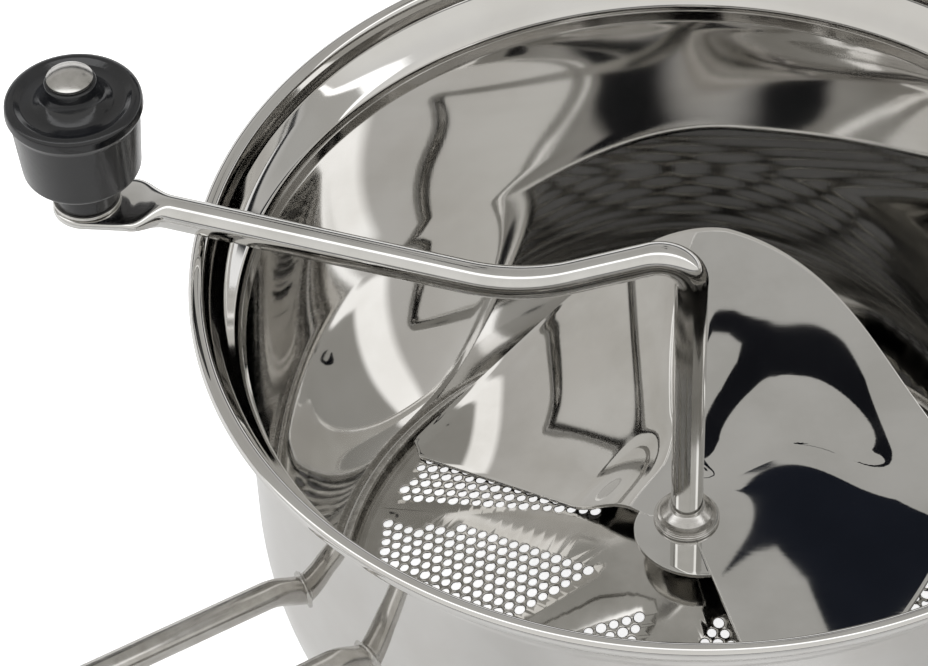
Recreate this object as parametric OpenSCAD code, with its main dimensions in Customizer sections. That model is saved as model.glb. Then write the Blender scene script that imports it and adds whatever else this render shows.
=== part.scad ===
// Rotary food mill: a pan with a strainer bottom, and a sprung crank that turns a pressing paddle.
// Millimetres, +Z up. The origin is on the crank axis, in the plane where the pan sits in a pot's mouth.

/* [Pan] */
// Outside radius of the pan's straight wall
wall_r = 94.9; // [85:0.1:105]
// Thickness of the pan's sheet
sheet_t = 0.8; // [0.6:0.1:1.2]
// Height of the rolled rim's centre above the origin
rim_z = 57; // [48:1:70]
// Outside radius of the whole rim
rim_r = 105; // [102:0.5:112]
// Outside radius of the rolled edge's own section
bead_r = 1.7; // [1.4:0.1:2.4]
// Depth of the flared collar under the rim
collar_h = 15.2; // [12:0.1:20]
// Depth below the origin where the wall starts to curve in
curve_z = 5; // [2:0.5:9]
// Radius of the wall's inward curve, seen in section
curve_r = 72; // [66:1:90]
// Depth of the foot below the origin
foot_z = 47.5; // [44:0.5:52]
// Width of the flat flange that the strainer is seated on
flange_w = 8; // [6:0.5:10]

/* [Strainer] */
// Thickness of the strainer's sheet
screen_t = 0.8; // [0.6:0.1:1.2]
// Width of the strainer's flat border
border_w = 4.7; // [3.5:0.1:6]
// Rise of the strainer's cone for each millimetre inwards
cone_slope = 0.239; // [0.18:0.005:0.25]
// Number of perforated sectors
sectors = 8; // [6:1:10]
// Direction of the first sector's centre line, in degrees
sector_az = 7; // [0:1:44]
// Radius of each hole
hole_r = 1.3; // [0.9:0.05:1.4]
// Distance between neighbouring holes
hole_pitch = 3.7; // [3.5:0.1:5]
// Distance from the axis to a sector's first hole, along the sector's centre line
holes_from = 22.6; // [20:0.1:30]
// Distance from the axis to the last holes
holes_to = 69.5; // [50:0.5:70]
// Distance from a sector's border to its nearest holes
strip_w = 4.1; // [2.5:0.1:5]
// Height of the brazed seam where the strainer's edge meets the wall
seam_h = 1.6; // [1:0.1:2.5]

/* [Spindle and crank] */
// Radius of the crank rod
rod_r = 3.6; // [3:0.1:3.8]
// Radius of the rod's threaded lower end
thread_r = 3; // [2.4:0.1:3]
// Radial running clearance of the rod in its bushing
run_gap = 0.05; // [0.02:0.01:0.1]
// Height of the rod's top bend above the rim's centre
crank_rise = 3.9; // [0:0.1:6]
// Centre line radius of the top bend
bend_r = 6.5; // [5:0.5:9]
// Distance from the axis to the bottom of the arm's dip
dip_x = 36; // [30:1:45]
// Depth of the arm's dip below its top bend
dip_h = 13.9; // [8:0.1:16]
// Rise of the arm's end above the bottom of its dip
arm_rise = 18.8; // [17:0.1:26]
// Distance from the crank axis to the knob axis
throw_x = 126.5; // [124:0.5:136]
// Rise from the end of the arm to the pad's centre
pad_rise = 0.8; // [-3:0.1:2]
// Radius of the flattened pad's round end
pad_r = 7.5; // [6.5:0.1:9]
// Thickness of the flattened pad
pad_t = 3; // [2.4:0.1:4]
// Direction of the arm at rest, in degrees
crank_az = 178; // [0:1:360]

/* [Knob] */
// Height of the knob's body
knob_h = 27.6; // [25:0.1:36]
// Radius of the knob at its shoulder
knob_r = 14.3; // [13.8:0.1:18]
// Radius of the knob at the foot of its side
knob_low_r = 12.4; // [10:0.1:12.8]
// Radius of the knob's neck
neck_r = 6.6; // [5.5:0.1:7.5]
// Height of the knob's neck
neck_h = 8; // [3:0.1:9]
// Radius of the boss in the middle of the knob's top
boss_r = 5.4; // [5.2:0.1:6]
// Height of the boss above the dish of the knob's top
boss_h = 5.7; // [5:0.1:7]
// Depth of the dish in the knob's top
dish_h = 1.2; // [1:0.1:2]
// Radius of the stud that the knob turns on
stud_r = 2.6; // [2:0.1:3]
// Radius of the stud's domed head
head_r = 4.8; // [4:0.1:5]
// Height of the stud's domed head
head_h = 1.4; // [1:0.1:3]
// Thickness of the washers under the knob and under the pad
knob_washer_t = 0.8; // [0.5:0.1:1.5]

/* [Paddle] */
// Thickness of the paddle's sheet
paddle_t = 1; // [0.8:0.1:1.2]
// Height of the paddle's hub above the strainer's peak
hub_lift = 4.7; // [4.4:0.1:9]
// Radius of the paddle's hub where it is narrowest
hub_r = 11; // [10:0.5:13]
// Extra radius of the hub on its leading side
hub_lobe = 7; // [4:0.5:9]
// Outside radius of the pressing lobe
lobe_r = 76.5; // [70:0.5:77]
// Radius of the paddle's edge across its flat wing
wing_r = 55; // [45:0.5:60]
// Radius of the paddle's edge where the wing meets the raised corner
wing_top_r = 62; // [58:0.5:68]
// Extra radius of the paddle's edge at its leading tip
toe_w = 9; // [4:0.5:12]
// Direction where the wing's edge starts to swell towards the leading tip, in degrees
toe_az = -30; // [-40:1:-20]
// Direction of the low, trailing edge, in degrees
trail_az = 151; // [145:1:160]
// Distance from the crank axis to the line of the trailing edge
trail_off = 4.4; // [0:0.1:6]
// Direction of the raised corner, in degrees
peak_az = 84; // [75:1:95]
// Direction of the leading edge, in degrees
lead_az = -71; // [-80:1:-60]
// Slope of the raised face
face_slope = 0.262; // [0.2:0.005:0.32]
// Gap between the low edge and the strainer
wipe_gap = 0.35; // [0.3:0.05:1]
// Radius of the domed collar that holds the paddle
collar_r = 7.4; // [6.5:0.1:8.5]
// Height of the domed collar
collar_top = 4.2; // [3.5:0.1:6]

/* [Spring and nut] */
// Radius of the spring's wire
wire_r = 0.6; // [0.5:0.05:0.7]
// Number of turns in the spring
turns = 3; // [2:1:3]
// Height of the spring at rest
spring_h = 6.4; // [6:0.1:7]
// Centre line radius of the spring
coil_r = 6.4; // [5.5:0.1:8]
// Thickness of the washers on either side of the spring
washer_t = 1; // [0.8:0.1:1.2]
// Radius of the washers
washer_r = 8.6; // [8:0.1:11]
// Height of the wing nut's body
nut_h = 4.6; // [4:0.1:5]
// Radius of the wing nut's body
nut_r = 5.2; // [4.6:0.1:6]
// Distance from the axis to the tips of the wings
wing_tip = 13; // [11:0.5:16]

/* [Handle] */
// Radius of the handle's wire
handle_wire_r = 3; // [2.5:0.1:3.5]
// Distance between the handle's two legs
handle_gap = 23.2; // [20:0.1:30]
// Reach of the handle from the wall to its far end
handle_reach = 128; // [100:1:150]
// Height of the legs' ends above the origin
handle_z = 9.5; // [8.6:0.1:14]
// Rise of the handle, in degrees
handle_tilt = 8; // [0:1:15]
// Direction of the handle, in degrees
handle_az = 220; // [0:1:360]
// Height of each weld fillet along the wire
weld_h = 1.2; // [0.8:0.1:2.5]

/* [Pot hooks] */
// Radius of the hooks' wire
hook_wire_r = 2; // [1.6:0.1:2.4]
// Distance between the two wires of a hook
hook_gap = 9.6; // [9:0.1:14]
// Reach of a hook from the wall
hook_reach = 30; // [24:1:40]
// Height of the hook's top ends above the origin
hook_top = 27; // [24:0.5:32]
// Height of the hook's resting part above the origin
hook_rest = 7.6; // [7:0.1:9]
// Directions of the two hooks, in degrees
hook_az = [87, 353];

/* [Hidden] */
$fn = 96;
steel = "#b9b7b2";
eps = 0.01;
touch = 0.05;          // gap between faces of different pieces that only rest on each other
hub_skin = 0.1;        // thickness that the flat hub stands proud of the paddle's sheet, on each side

// Levels and radii that follow from the sizes above
mid_r = wall_r - sheet_t / 2;
foot_mid = -foot_z + sheet_t / 2;
curve_sin = (foot_z - sheet_t / 2 - curve_z) / curve_r;
curve_end = asin(curve_sin);
heel_r = mid_r - curve_r * (1 - cos(curve_end));
flange_in = heel_r - flange_w;
seat_z = -foot_z + sheet_t;
screen_r = flange_in + border_w + 0.3;
cone_r = screen_r - border_w;
screen_z = seat_z + screen_t;
peak_z = screen_z + cone_slope * cone_r;
hub_z = peak_z + hub_lift;
arm_top = rim_z + crank_rise;
dip_z = arm_top - dip_h;
arm_end_z = dip_z + arm_rise;
neck_x = throw_x - 14;  // end of the straight arm, where it bends down to the pad
pad_z = arm_end_z + pad_rise;
knob_z = pad_z + pad_t / 2 + knob_washer_t;
bore_r = rod_r + run_gap;
bush_r = rod_r + 2.9;
flange_bush_r = bush_r + 3.4;
bush_flange_t = 1.6;
under_z = peak_z - screen_t - cone_slope * bush_r;
shoulder_z = under_z - bush_flange_t;
cup_z = shoulder_z - touch;
spring_top = cup_z - washer_t;
washer_z = spring_top - spring_h - washer_t;
nut_z = washer_z - nut_h;
rod_end = nut_z - 0.4;
clear_r = thread_r + 0.25;

// A 2D band of the given thickness along a line of points
function dir(a, b) = (b - a) / norm(b - a);
function side(p, i) =
    let (a = p[max(i - 1, 0)], b = p[i], c = p[min(i + 1, len(p) - 1)],
         u = i == 0 ? dir(b, c) : dir(a, b), v = i == len(p) - 1 ? u : dir(b, c),
         m = [-(u[1] + v[1]), u[0] + v[0]] / 2)
    m / (m * m);
module band(p, t) {
    n = len(p) - 1;
    polygon(concat([for (i = [0:n]) p[i] + side(p, i) * t / 2],
                   [for (i = [n:-1:0]) p[i] - side(p, i) * t / 2]));
}

// A round rod through a line of points in the XZ plane, bent at each inner point
function turn_of(p, i) =
    let (u = dir(p[i - 1], p[i]), v = dir(p[i], p[i + 1])) atan2(u[0] * v[1] - u[1] * v[0], u * v);
function cut_of(p, b, i) = i == 0 || i == len(p) - 1 ? 0 : b[i] * tan(abs(turn_of(p, i)) / 2);
module bent_rod(p, b, r) {
    for (i = [0:len(p) - 2]) {
        u = dir(p[i], p[i + 1]);
        a = p[i] + u * cut_of(p, b, i);
        l = norm(p[i + 1] - p[i]) - cut_of(p, b, i) - cut_of(p, b, i + 1);
        translate([a[0], 0, a[1]]) rotate([0, atan2(u[0], u[1]), 0]) cylinder(r = r, h = l, $fn = 48);
    }
    for (i = [1:1:len(p) - 2]) {
        t = turn_of(p, i);
        s = sign(t);
        u = dir(p[i - 1], p[i]);
        a = p[i] - u * cut_of(p, b, i);
        c = a + s * b[i] * [-u[1], u[0]];
        start = atan2(a[1] - c[1], a[0] - c[0]);
        translate([c[0], 0, c[1]]) rotate([90, 0, 0])
            rotate([0, 0, s > 0 ? start : start + t])
                rotate_extrude(angle = abs(t), $fn = 96) translate([b[i], 0]) circle(r = r, $fn = 48);
    }
}

// The same line of points with each inner point rounded off by a bend
function bend_of(p, b, i, n) =
    let (t = turn_of(p, i), u = dir(p[i - 1], p[i]), a = p[i] - u * cut_of(p, b, i),
         c = a + sign(t) * b[i] * [-u[1], u[0]], start = atan2(a[1] - c[1], a[0] - c[0]))
    [for (k = [0:n]) c + b[i] * [cos(start + t * k / n), sin(start + t * k / n)]];
function rounded(p, b, n = 8) =
    concat([p[0]], [for (i = [1:1:len(p) - 2]) each bend_of(p, b, i, n)], [p[len(p) - 1]]);

// A rod swept along 3D points: w is its half width across ref, h its half height along ref
module sweep(p, ref, w, h, sides = 16) {
    n = len(p);
    pts = [for (i = [0:n - 1])
        let (t = dir(p[max(i - 1, 0)], p[min(i + 1, n - 1)]), c = cross(ref, t),
             b = c / norm(c), a = cross(t, b))
        for (k = [0:sides - 1]) p[i] + w[i] * cos(360 * k / sides) * a + h[i] * sin(360 * k / sides) * b];
    walls = [for (i = [0:n - 2], k = [0:sides - 1])
        let (q = i * sides + k, r = i * sides + (k + 1) % sides)
        each [[q, r, r + sides], [q, r + sides, q + sides]]];
    polyhedron(pts, concat(walls, [[for (k = [sides - 1:-1:0]) k]],
        [[for (k = [0:sides - 1]) (n - 1) * sides + k]]), convexity = 10);
}

// A wire hairpin in the XY plane: two straight legs joined by a half turn, open towards -X
module hairpin(gap, reach, r) {
    for (s = [-1, 1]) translate([0, s * gap / 2, 0]) rotate([0, 90, 0])
        cylinder(r = r, h = reach - gap / 2, $fn = 48);
    translate([reach - gap / 2, 0, 0]) rotate([0, 0, -90])
        rotate_extrude(angle = 180) translate([gap / 2, 0]) circle(r = r, $fn = 48);
}

module pan() {
    in_r = rim_r - 2 * bead_r;
    curl_r = bead_r - sheet_t / 2;
    curl = [for (a = [-100:20:180]) [rim_r - bead_r, rim_z] + curl_r * [cos(a), sin(a)]];
    flare = [[in_r + 0.35, rim_z - 0.07 * collar_h], [in_r - 0.2, rim_z - 0.22 * collar_h],
             [in_r - 2, rim_z - 0.44 * collar_h], [in_r - 4.2, rim_z - 0.62 * collar_h],
             [mid_r + 1.6, rim_z - 0.8 * collar_h], [mid_r + 0.35, rim_z - 0.88 * collar_h]];
    wall = [for (a = [0:2:curve_end]) [mid_r - curve_r * (1 - cos(a)), -curve_z - curve_r * sin(a)]];
    color(steel) rotate_extrude(convexity = 6)
        band(concat(curl, flare, [[mid_r, rim_z - collar_h]], wall,
                    [[heel_r, foot_mid], [flange_in, foot_mid]]), sheet_t);
}

// The cone is made of flat panels, one to a sector: face_r is a panel's length, face_w its half width
panel = 180 / sectors;
tilt = atan(cone_slope / cos(panel));
face_r = cone_r * cos(panel) / cos(tilt);
face_w = cone_r * sin(panel);
sink = 0.06;           // depth that a panel's outer edge runs into the flat border

// Hole centres of one panel: a triangular lattice that starts at the sector's inner corner. One set of
// rows runs along the sector's border, and the inner row leaves the corner at 60 degrees to it.
function holes(far = min(holes_to, face_r - hole_r - 1)) =
    let (edge = atan(face_w / face_r), n = ceil(far / hole_pitch),
         start = [holes_from, holes_from * tan(edge) - strip_w / cos(edge)])
    [for (i = [0:n], j = [0:n])
        let (h = start + hole_pitch * (i * [cos(edge), sin(edge)] + j * [cos(edge - 60), sin(edge - 60)]))
            if (h[0] < far && h[1] > strip_w / cos(edge) - h[0] * tan(edge)) h];

module strainer() {
    color(steel) rotate([0, 0, sector_az]) difference() {
        union() {
            translate([0, 0, seat_z]) linear_extrude(screen_t) difference() {
                circle(r = screen_r);
                rotate(panel) circle(r = cone_r - 0.5, $fn = sectors);
            }
            for (s = [0:sectors - 1]) rotate([0, 0, 2 * panel * s]) intersection() {
                translate([cone_r * cos(panel), 0, screen_z]) rotate([0, tilt, 0])
                    translate([-face_r, 0, -screen_t]) linear_extrude(screen_t) difference() {
                        polygon([[-5, -2], [face_r + sink, -face_w - 2],
                                 [face_r + sink, face_w + 2], [-5, 2]]);
                        for (h = holes()) translate(h) circle(r = hole_r, $fn = 16);
                    }
                translate([0, 0, seat_z - 5]) linear_extrude(60)
                    polygon([[0, 0], 2 * screen_r * [cos(panel), -sin(panel)],
                             2 * screen_r * [cos(panel), sin(panel)]]);
            }
        }
        translate([0, 0, seat_z]) cylinder(r = bush_r, h = 40);
    }
}

module strainer_seam() {
    w = heel_r - sheet_t / 2 - screen_r;
    color(steel) rotate_extrude() polygon([
        [screen_r + touch, seat_z], [screen_r + touch, screen_z],
        [screen_r + 0.2 * w, screen_z + 0.5 * seam_h], [screen_r + 0.6 * w, screen_z + 0.6 * seam_h],
        [screen_r + 0.85 * w, screen_z], [screen_r + 0.85 * w, seat_z]]);
}

module shaft_bushing() {
    top = hub_z - paddle_t - hub_skin - touch;
    low = under_z - bush_flange_t;
    seat = peak_z - cone_slope * bush_r;
    color(steel) difference() {
        rotate_extrude() polygon([
            [bore_r, low], [bush_r - touch, low], [bush_r - touch, seat + touch],
            [flange_bush_r, seat + touch], [flange_bush_r - 0.4, seat + 1], [bush_r + 0.5, seat + 1.9],
            [bush_r, seat + 2.6], [bush_r, top - 0.5], [bush_r - 0.5, top], [bore_r, top]]);
        translate([0, 0, low - 1]) cylinder(r = bore_r, h = top - low + 2);
    }
}

module bushing_washer() {
    low = under_z - bush_flange_t;
    color(steel) translate([0, 0, low]) difference() {
        cylinder(r = flange_bush_r - 0.6, h = bush_flange_t - cone_slope * 3.4 - 0.25);
        translate([0, 0, -1]) cylinder(r = bush_r - touch, h = bush_flange_t + 2);
    }
}

// Height of the paddle's upper face over the plan point [x, y]
crest = hub_z;
function wiped_z(r) = screen_z + cone_slope * max(cone_r - r, 0) + paddle_t + wipe_gap;
function fold_y(x) = 7.5 + 15 * exp(-pow((x - 25) / 19, 2));
function soft(d, w = 4) = d > 8 * w ? d : w * ln(1 + exp(d / w)) - w * ln(2) * exp(-pow(d / w, 2) / 4) * 0.2;
function raised_z(x, y) = crest + face_slope * soft(y - fold_y(x));
function ease(t) = t <= 0 ? 0 : t >= 1 ? 1 : (1 - cos(180 * t)) / 2;
// The trailing edge is a straight line in plan that passes the axis at trail_off, so its direction
// depends on the distance from the axis. Nominal directions n are spread out to follow it.
trail_dir = trail_az - asin(trail_off / lobe_r);
function spread(r, n) =
    n + (trail_dir + asin(trail_off / r) - trail_az) * ease((n - peak_az) / (trail_az - peak_az));
function paddle_z(r, n) =
    let (out = ease((r - hub_r) / 18), a = spread(r, n),
         free = raised_z(r * cos(a), r * sin(a)),
         low = crest + (min(wiped_z(r), crest) - crest) * out,
         t = min(max((n - peak_az) / (trail_az - 1 - peak_az), 0), 1),
         w = 1 - pow(1 - pow(t, 1.6), 2.3))
    crest + ((1 - w) * (free - crest) + w * (low - crest)) * ease((r - hub_r + 1.5) / 6);

// Radius of the paddle's free edge in the nominal direction a
corner_w = 60;         // width of the hollowed edge beside the raised corner, in degrees
function edge_r(a) = let (t = (peak_az - a) / corner_w)
    a > trail_az - 3 ? lobe_r - 4 * ease((a - trail_az + 3) / 3) :
    a > peak_az ? lobe_r :
    t < 1 ? lobe_r - (lobe_r - wing_top_r) * ease(t) - 3.5 * sin(180 * t) :
    a > toe_az ? wing_r + (wing_top_r - wing_r) * ease((a - toe_az) / (peak_az - corner_w - toe_az)) :
    wing_r + toe_w * ease((toe_az - a) / (toe_az - lead_az));

module paddle() {
    rings = 11;
    spokes = 50;
    in_r = hub_r - 2.5;
    n = spokes + 1;
    az = [for (j = [0:spokes]) lead_az + (trail_az - lead_az) * j / spokes];
    top = [for (i = [0:rings], a = az)
        let (r = in_r + (edge_r(a) - in_r) * i / rings, b = spread(r, a))
            [r * cos(b), r * sin(b), paddle_z(r, a)]];
    pts = concat(top, [for (p = top) p - [0, 0, paddle_t]]);
    m = len(top);
    faces = concat(
        [for (i = [0:rings - 1], j = [0:spokes - 1]) let (q = i * n + j)
            each [[q, q + 1, q + n], [q + 1, q + n + 1, q + n]]],
        [for (i = [0:rings - 1], j = [0:spokes - 1]) let (q = m + i * n + j)
            each [[q + n, q + 1, q], [q + n, q + n + 1, q + 1]]],
        [for (j = [0:spokes - 1]) each [[j + 1, j, m + j], [j + 1, m + j, m + j + 1]]],
        [for (j = [0:spokes - 1]) let (q = rings * n + j)
            each [[q, q + 1, m + q], [q + 1, m + q + 1, m + q]]],
        [for (i = [0:rings - 1]) let (q = i * n)
            each [[q, q + n, m + q], [q + n, m + q + n, m + q]]],
        [for (i = [0:rings - 1]) let (q = i * n + spokes)
            each [[q + n, q, m + q], [q + n, m + q, m + q + n]]]);
    color(steel) difference() {
        union() {
            polyhedron(pts, faces, convexity = 8);
            translate([0, 0, crest - paddle_t - hub_skin]) linear_extrude(paddle_t + 2 * hub_skin) union() {
                circle(r = hub_r - 0.4);
                polygon(concat([[0, 0]], [for (a = [trail_az:6:360 + lead_az])
                    let (t = (a - trail_az) / (360 + lead_az - trail_az))
                        (hub_r - 0.4 + hub_lobe * t) * [cos(a), sin(a)]]));
            }
        }
        translate([0, 0, crest - 5]) cylinder(r = rod_r, h = 10);
    }
}

module paddle_collar() {
    color(steel) translate([0, 0, crest + hub_skin]) difference() {
        union() {
            cylinder(r = collar_r, h = 0.9);
            rotate_extrude() polygon([[0, 0.9], [collar_r - 0.8, 0.9], [collar_r - 0.7, 1.7],
                [collar_r - 1.4, 2.7], [collar_r - 2.5, 3.6], [rod_r + 0.5, collar_top], [0, collar_top]]);
        }
        translate([0, 0, -1]) cylinder(r = rod_r, h = collar_top + 2);
    }
}

module on_crank() rotate([0, 0, crank_az]) children();

module crank_rod() {
    end_x = throw_x - pad_r;
    line = rounded([[0, arm_top - 20], [0, arm_top], [dip_x, dip_z], [neck_x, arm_end_z],
                    [end_x - 1.5, pad_z], [end_x + 1, pad_z]], [0, bend_r, 38, 7, 4, 0]);
    f = [for (q = line) ease((q[0] - neck_x + 3) / (end_x + 1 - neck_x))];
    color(steel) on_crank() difference() {
        union() {
            translate([0, 0, shoulder_z]) cylinder(r = rod_r, h = arm_top - 17 - shoulder_z);
            translate([0, 0, rod_end]) cylinder(r = thread_r, h = shoulder_z - rod_end + eps);
            sweep([for (q = line) [q[0], 0, q[1]]], [0, 1, 0],
                  [for (k = f) rod_r - 0.04 + (pad_r - 1.4 - rod_r) * k],
                  [for (k = f) rod_r - 0.04 + (pad_t / 2 - rod_r) * k]);
            translate([throw_x, 0, pad_z - pad_t / 2]) cylinder(r = pad_r, h = pad_t);
        }
        translate([throw_x, 0, pad_z - pad_t]) cylinder(r = stud_r, h = 2 * pad_t);
    }
}

module at_knob() on_crank() translate([throw_x, 0, 0]) children();

module knob() {
    z = knob_z + touch;
    top = knob_h;
    foot = top - dish_h;
    color("#26282b") at_knob() translate([0, 0, z]) difference() {
        rotate_extrude() polygon([
            [stud_r + run_gap, 0], [neck_r, 0], [neck_r, neck_h], [knob_low_r - 1.6, neck_h + 0.2],
            [knob_low_r - 0.4, neck_h + 0.7], [knob_low_r, neck_h + 1.8], [knob_r - 0.8, top - 4.2],
            [knob_r - 0.2, top - 3], [knob_r, top - 2.2], [knob_r - 0.3, top - 1],
            [knob_r - 1, top - 0.3], [knob_r - 1.9, top], [knob_r - 2.7, top - 0.4],
            [knob_r - 3.6, top - dish_h], [boss_r + 3.1, top - dish_h], [boss_r + 1.8, foot + 0.6],
            [boss_r + 0.8, foot + 1.7], [boss_r + 0.2, foot + 3.2], [boss_r, foot + boss_h - 0.4],
            [boss_r - 0.4, foot + boss_h], [stud_r + run_gap, foot + boss_h]]);
        translate([0, 0, -1]) cylinder(r = stud_r + run_gap, h = top + boss_h + 2);
    }
}

module knob_stud() {
    head_z = knob_z + touch + knob_h - dish_h + boss_h + touch;
    ball = (head_r * head_r + head_h * head_h) / (2 * head_h);
    low = pad_z - pad_t / 2 - knob_washer_t;
    color(steel) at_knob() union() {
        translate([0, 0, low]) cylinder(r = stud_r, h = head_z - low + eps);
        translate([0, 0, head_z]) cylinder(r = head_r, h = 0.8);
        intersection() {
            translate([0, 0, head_z + 0.8 + head_h - ball]) sphere(r = ball);
            translate([0, 0, head_z + 0.4]) cylinder(r = head_r, h = head_h + 2);
        }
        translate([0, 0, low - 1]) cylinder(r1 = stud_r + 0.5, r2 = stud_r + 1.1, h = 1);
    }
}

module ring(r_out, r_in, h) difference() {
    cylinder(r = r_out, h = h);
    translate([0, 0, -1]) cylinder(r = r_in, h = h + 2);
}

module knob_washer() {
    color(steel) at_knob() translate([0, 0, pad_z + pad_t / 2]) ring(neck_r + 0.6, stud_r, knob_washer_t);
}

module stud_washer() {
    color(steel) at_knob() translate([0, 0, pad_z - pad_t / 2 - knob_washer_t])
        ring(stud_r + 2.2, stud_r, knob_washer_t);
}

// The handle's own frame: X outwards along its middle, at the height of its legs
leg_x = sqrt(wall_r * wall_r - handle_gap * handle_gap / 4);
elbow_x = leg_x + 7.5;
elbow_z = handle_z + 4.6;
module handle_loop() {
    run = handle_reach - 7.5 - handle_gap / 2;
    far = [elbow_x + run * cos(handle_tilt), elbow_z + run * sin(handle_tilt)];
    leg = rounded([[leg_x - 3, handle_z - 1.85], [elbow_x, elbow_z], far], [0, 9, 0], 6);
    n = len(leg);
    line = concat([for (q = leg) [q[0], handle_gap / 2, q[1]]],
        [for (a = [15:15:165]) [far[0], 0, far[1]] + handle_gap / 2
            * [sin(a) * cos(handle_tilt), cos(a), sin(a) * sin(handle_tilt)]],
        [for (i = [n - 1:-1:0]) [leg[i][0], -handle_gap / 2, leg[i][1]]]);
    wire = [for (q = line) handle_wire_r];
    color(steel) rotate([0, 0, handle_az]) difference() {
        sweep(line, [0, 0, 1], wire, wire);
        rotate(-handle_az) translate([0, 0, -20]) cylinder(r = wall_r, h = 60, $fn = 360);
    }
}

module weld_at(s) {
    r = handle_wire_r;
    color(steel) rotate([0, 0, handle_az]) difference() {
        translate([leg_x - 1.4, s * handle_gap / 2, handle_z - 0.9]) rotate([0, 90 - 31.5, 0])
            cylinder(r1 = r + weld_h, r2 = r + 0.1, h = 1.4 + weld_h);
        translate([leg_x - 3, s * handle_gap / 2, handle_z - 1.85]) rotate([0, 90 - 31.5, 0])
            cylinder(r = r, h = 12, $fn = 96);
        translate([0, 0, -20]) cylinder(r = wall_r, h = 60, $fn = 360);
    }
}
module handle_weld_left() weld_at(1);
module handle_weld_right() weld_at(-1);

// A hook: two wires down the wall, bent outwards, and joined by a half turn at the tip
hook_x = sqrt(pow(wall_r + hook_wire_r, 2) - hook_gap * hook_gap / 4) + touch;
module pot_hook(az) {
    out = 14;
    color(steel) rotate([0, 0, az]) {
        for (s = [-1, 1]) translate([0, s * hook_gap / 2, 0])
            bent_rod([[hook_x, hook_top], [hook_x, hook_rest], [hook_x + out, hook_rest]],
                     [0, 5, 0], hook_wire_r);
        translate([hook_x + out, 0, hook_rest]) hairpin(hook_gap, hook_reach - out, hook_wire_r);
    }
}
module pot_hook_back() pot_hook(hook_az[0]);
module pot_hook_side() pot_hook(hook_az[1]);

module hook_welds(az) {
    color(steel) rotate([0, 0, az]) difference() {
        for (s = [-1, 1], k = [-1, 1])
            translate([hook_x - 0.6, s * hook_gap / 2 + k * hook_wire_r * 0.8, hook_top - 9])
                cylinder(r = 1.3, h = 7, $fn = 32);
        translate([0, 0, -20]) cylinder(r = wall_r, h = 80, $fn = 360);
        for (s = [-1, 1]) translate([hook_x, s * hook_gap / 2, hook_top - 12])
            cylinder(r = hook_wire_r, h = 14, $fn = 48);
    }
}
module hook_welds_back() hook_welds(hook_az[0]);
module hook_welds_side() hook_welds(hook_az[1]);

module cup_washer() {
    color(steel) translate([0, 0, cup_z - washer_t]) ring(washer_r, clear_r, washer_t);
}

module spring() {
    steps = 20;
    sides = 8;
    n = turns * steps;
    pitch = (spring_h - 2 * wire_r - 0.2) / turns;
    function ring_at(i) = let (a = i * 360 / steps)
        [for (k = [0:sides - 1]) let (b = k * 360 / sides, r = coil_r + wire_r * cos(b))
            [r * cos(a), r * sin(a), -0.1 - wire_r - pitch * i / steps + wire_r * sin(b)]];
    pts = [for (i = [0:n]) each ring_at(i)];
    side_faces = [for (i = [0:n - 1], k = [0:sides - 1])
        let (q = i * sides, a = q + k, b = q + (k + 1) % sides)
        each [[a, a + sides, b], [b, a + sides, b + sides]]];
    color("#8d8f92") translate([0, 0, spring_top]) polyhedron(pts, concat(side_faces,
        [[for (k = [0:sides - 1]) k]], [[for (k = [sides - 1:-1:0]) n * sides + k]]), convexity = 8);
}

module spring_washer() {
    color(steel) translate([0, 0, washer_z]) ring(washer_r - 0.6, thread_r, washer_t);
}

module wing_nut() {
    color(steel) translate([0, 0, nut_z]) difference() {
        union() {
            cylinder(r1 = nut_r - 0.8, r2 = nut_r, h = nut_h);
            for (s = [0, 180]) rotate([0, 0, s + 25]) rotate([90, 0, 0])
                translate([0, 0, -0.8]) linear_extrude(1.6)
                    polygon([[nut_r - 1.4, nut_h - 0.2], [nut_r - 1.6, 0.6], [nut_r + 3, 0],
                             [wing_tip - 2, 0],
                             [wing_tip - 0.5, 0.6], [wing_tip, 2], [wing_tip - 0.8, 3.4],
                             [wing_tip - 2.6, 3.9], [nut_r + 1, 3.8]]);
        }
        translate([0, 0, -1]) cylinder(r = thread_r, h = nut_h + 2);
    }
}

pan();
strainer();
strainer_seam();
shaft_bushing();
bushing_washer();
paddle();
paddle_collar();
crank_rod();
knob();
knob_stud();
knob_washer();
stud_washer();
handle_loop();
handle_weld_left();
handle_weld_right();
pot_hook_back();
pot_hook_side();
hook_welds_back();
hook_welds_side();
cup_washer();
spring();
spring_washer();
wing_nut();
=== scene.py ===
"""Looks for a rotary food mill.

The mill is a polished pan with a punched strainer, a sprung crank with its paddle and knob, and wire
fittings. Sizes are in millimetres, in the frame of the solids: the crank axis is z, and the handle's
and crank's directions are angles about it.
"""

import logging
import math
from dataclasses import dataclass
from enum import Enum
from functools import lru_cache
from typing import Any, Dict, List, Optional, Sequence, Tuple, Union

import bmesh
import bpy
import numpy as np
from mathutils import Matrix, Vector
from mathutils.geometry import delaunay_2d_cdt

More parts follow.
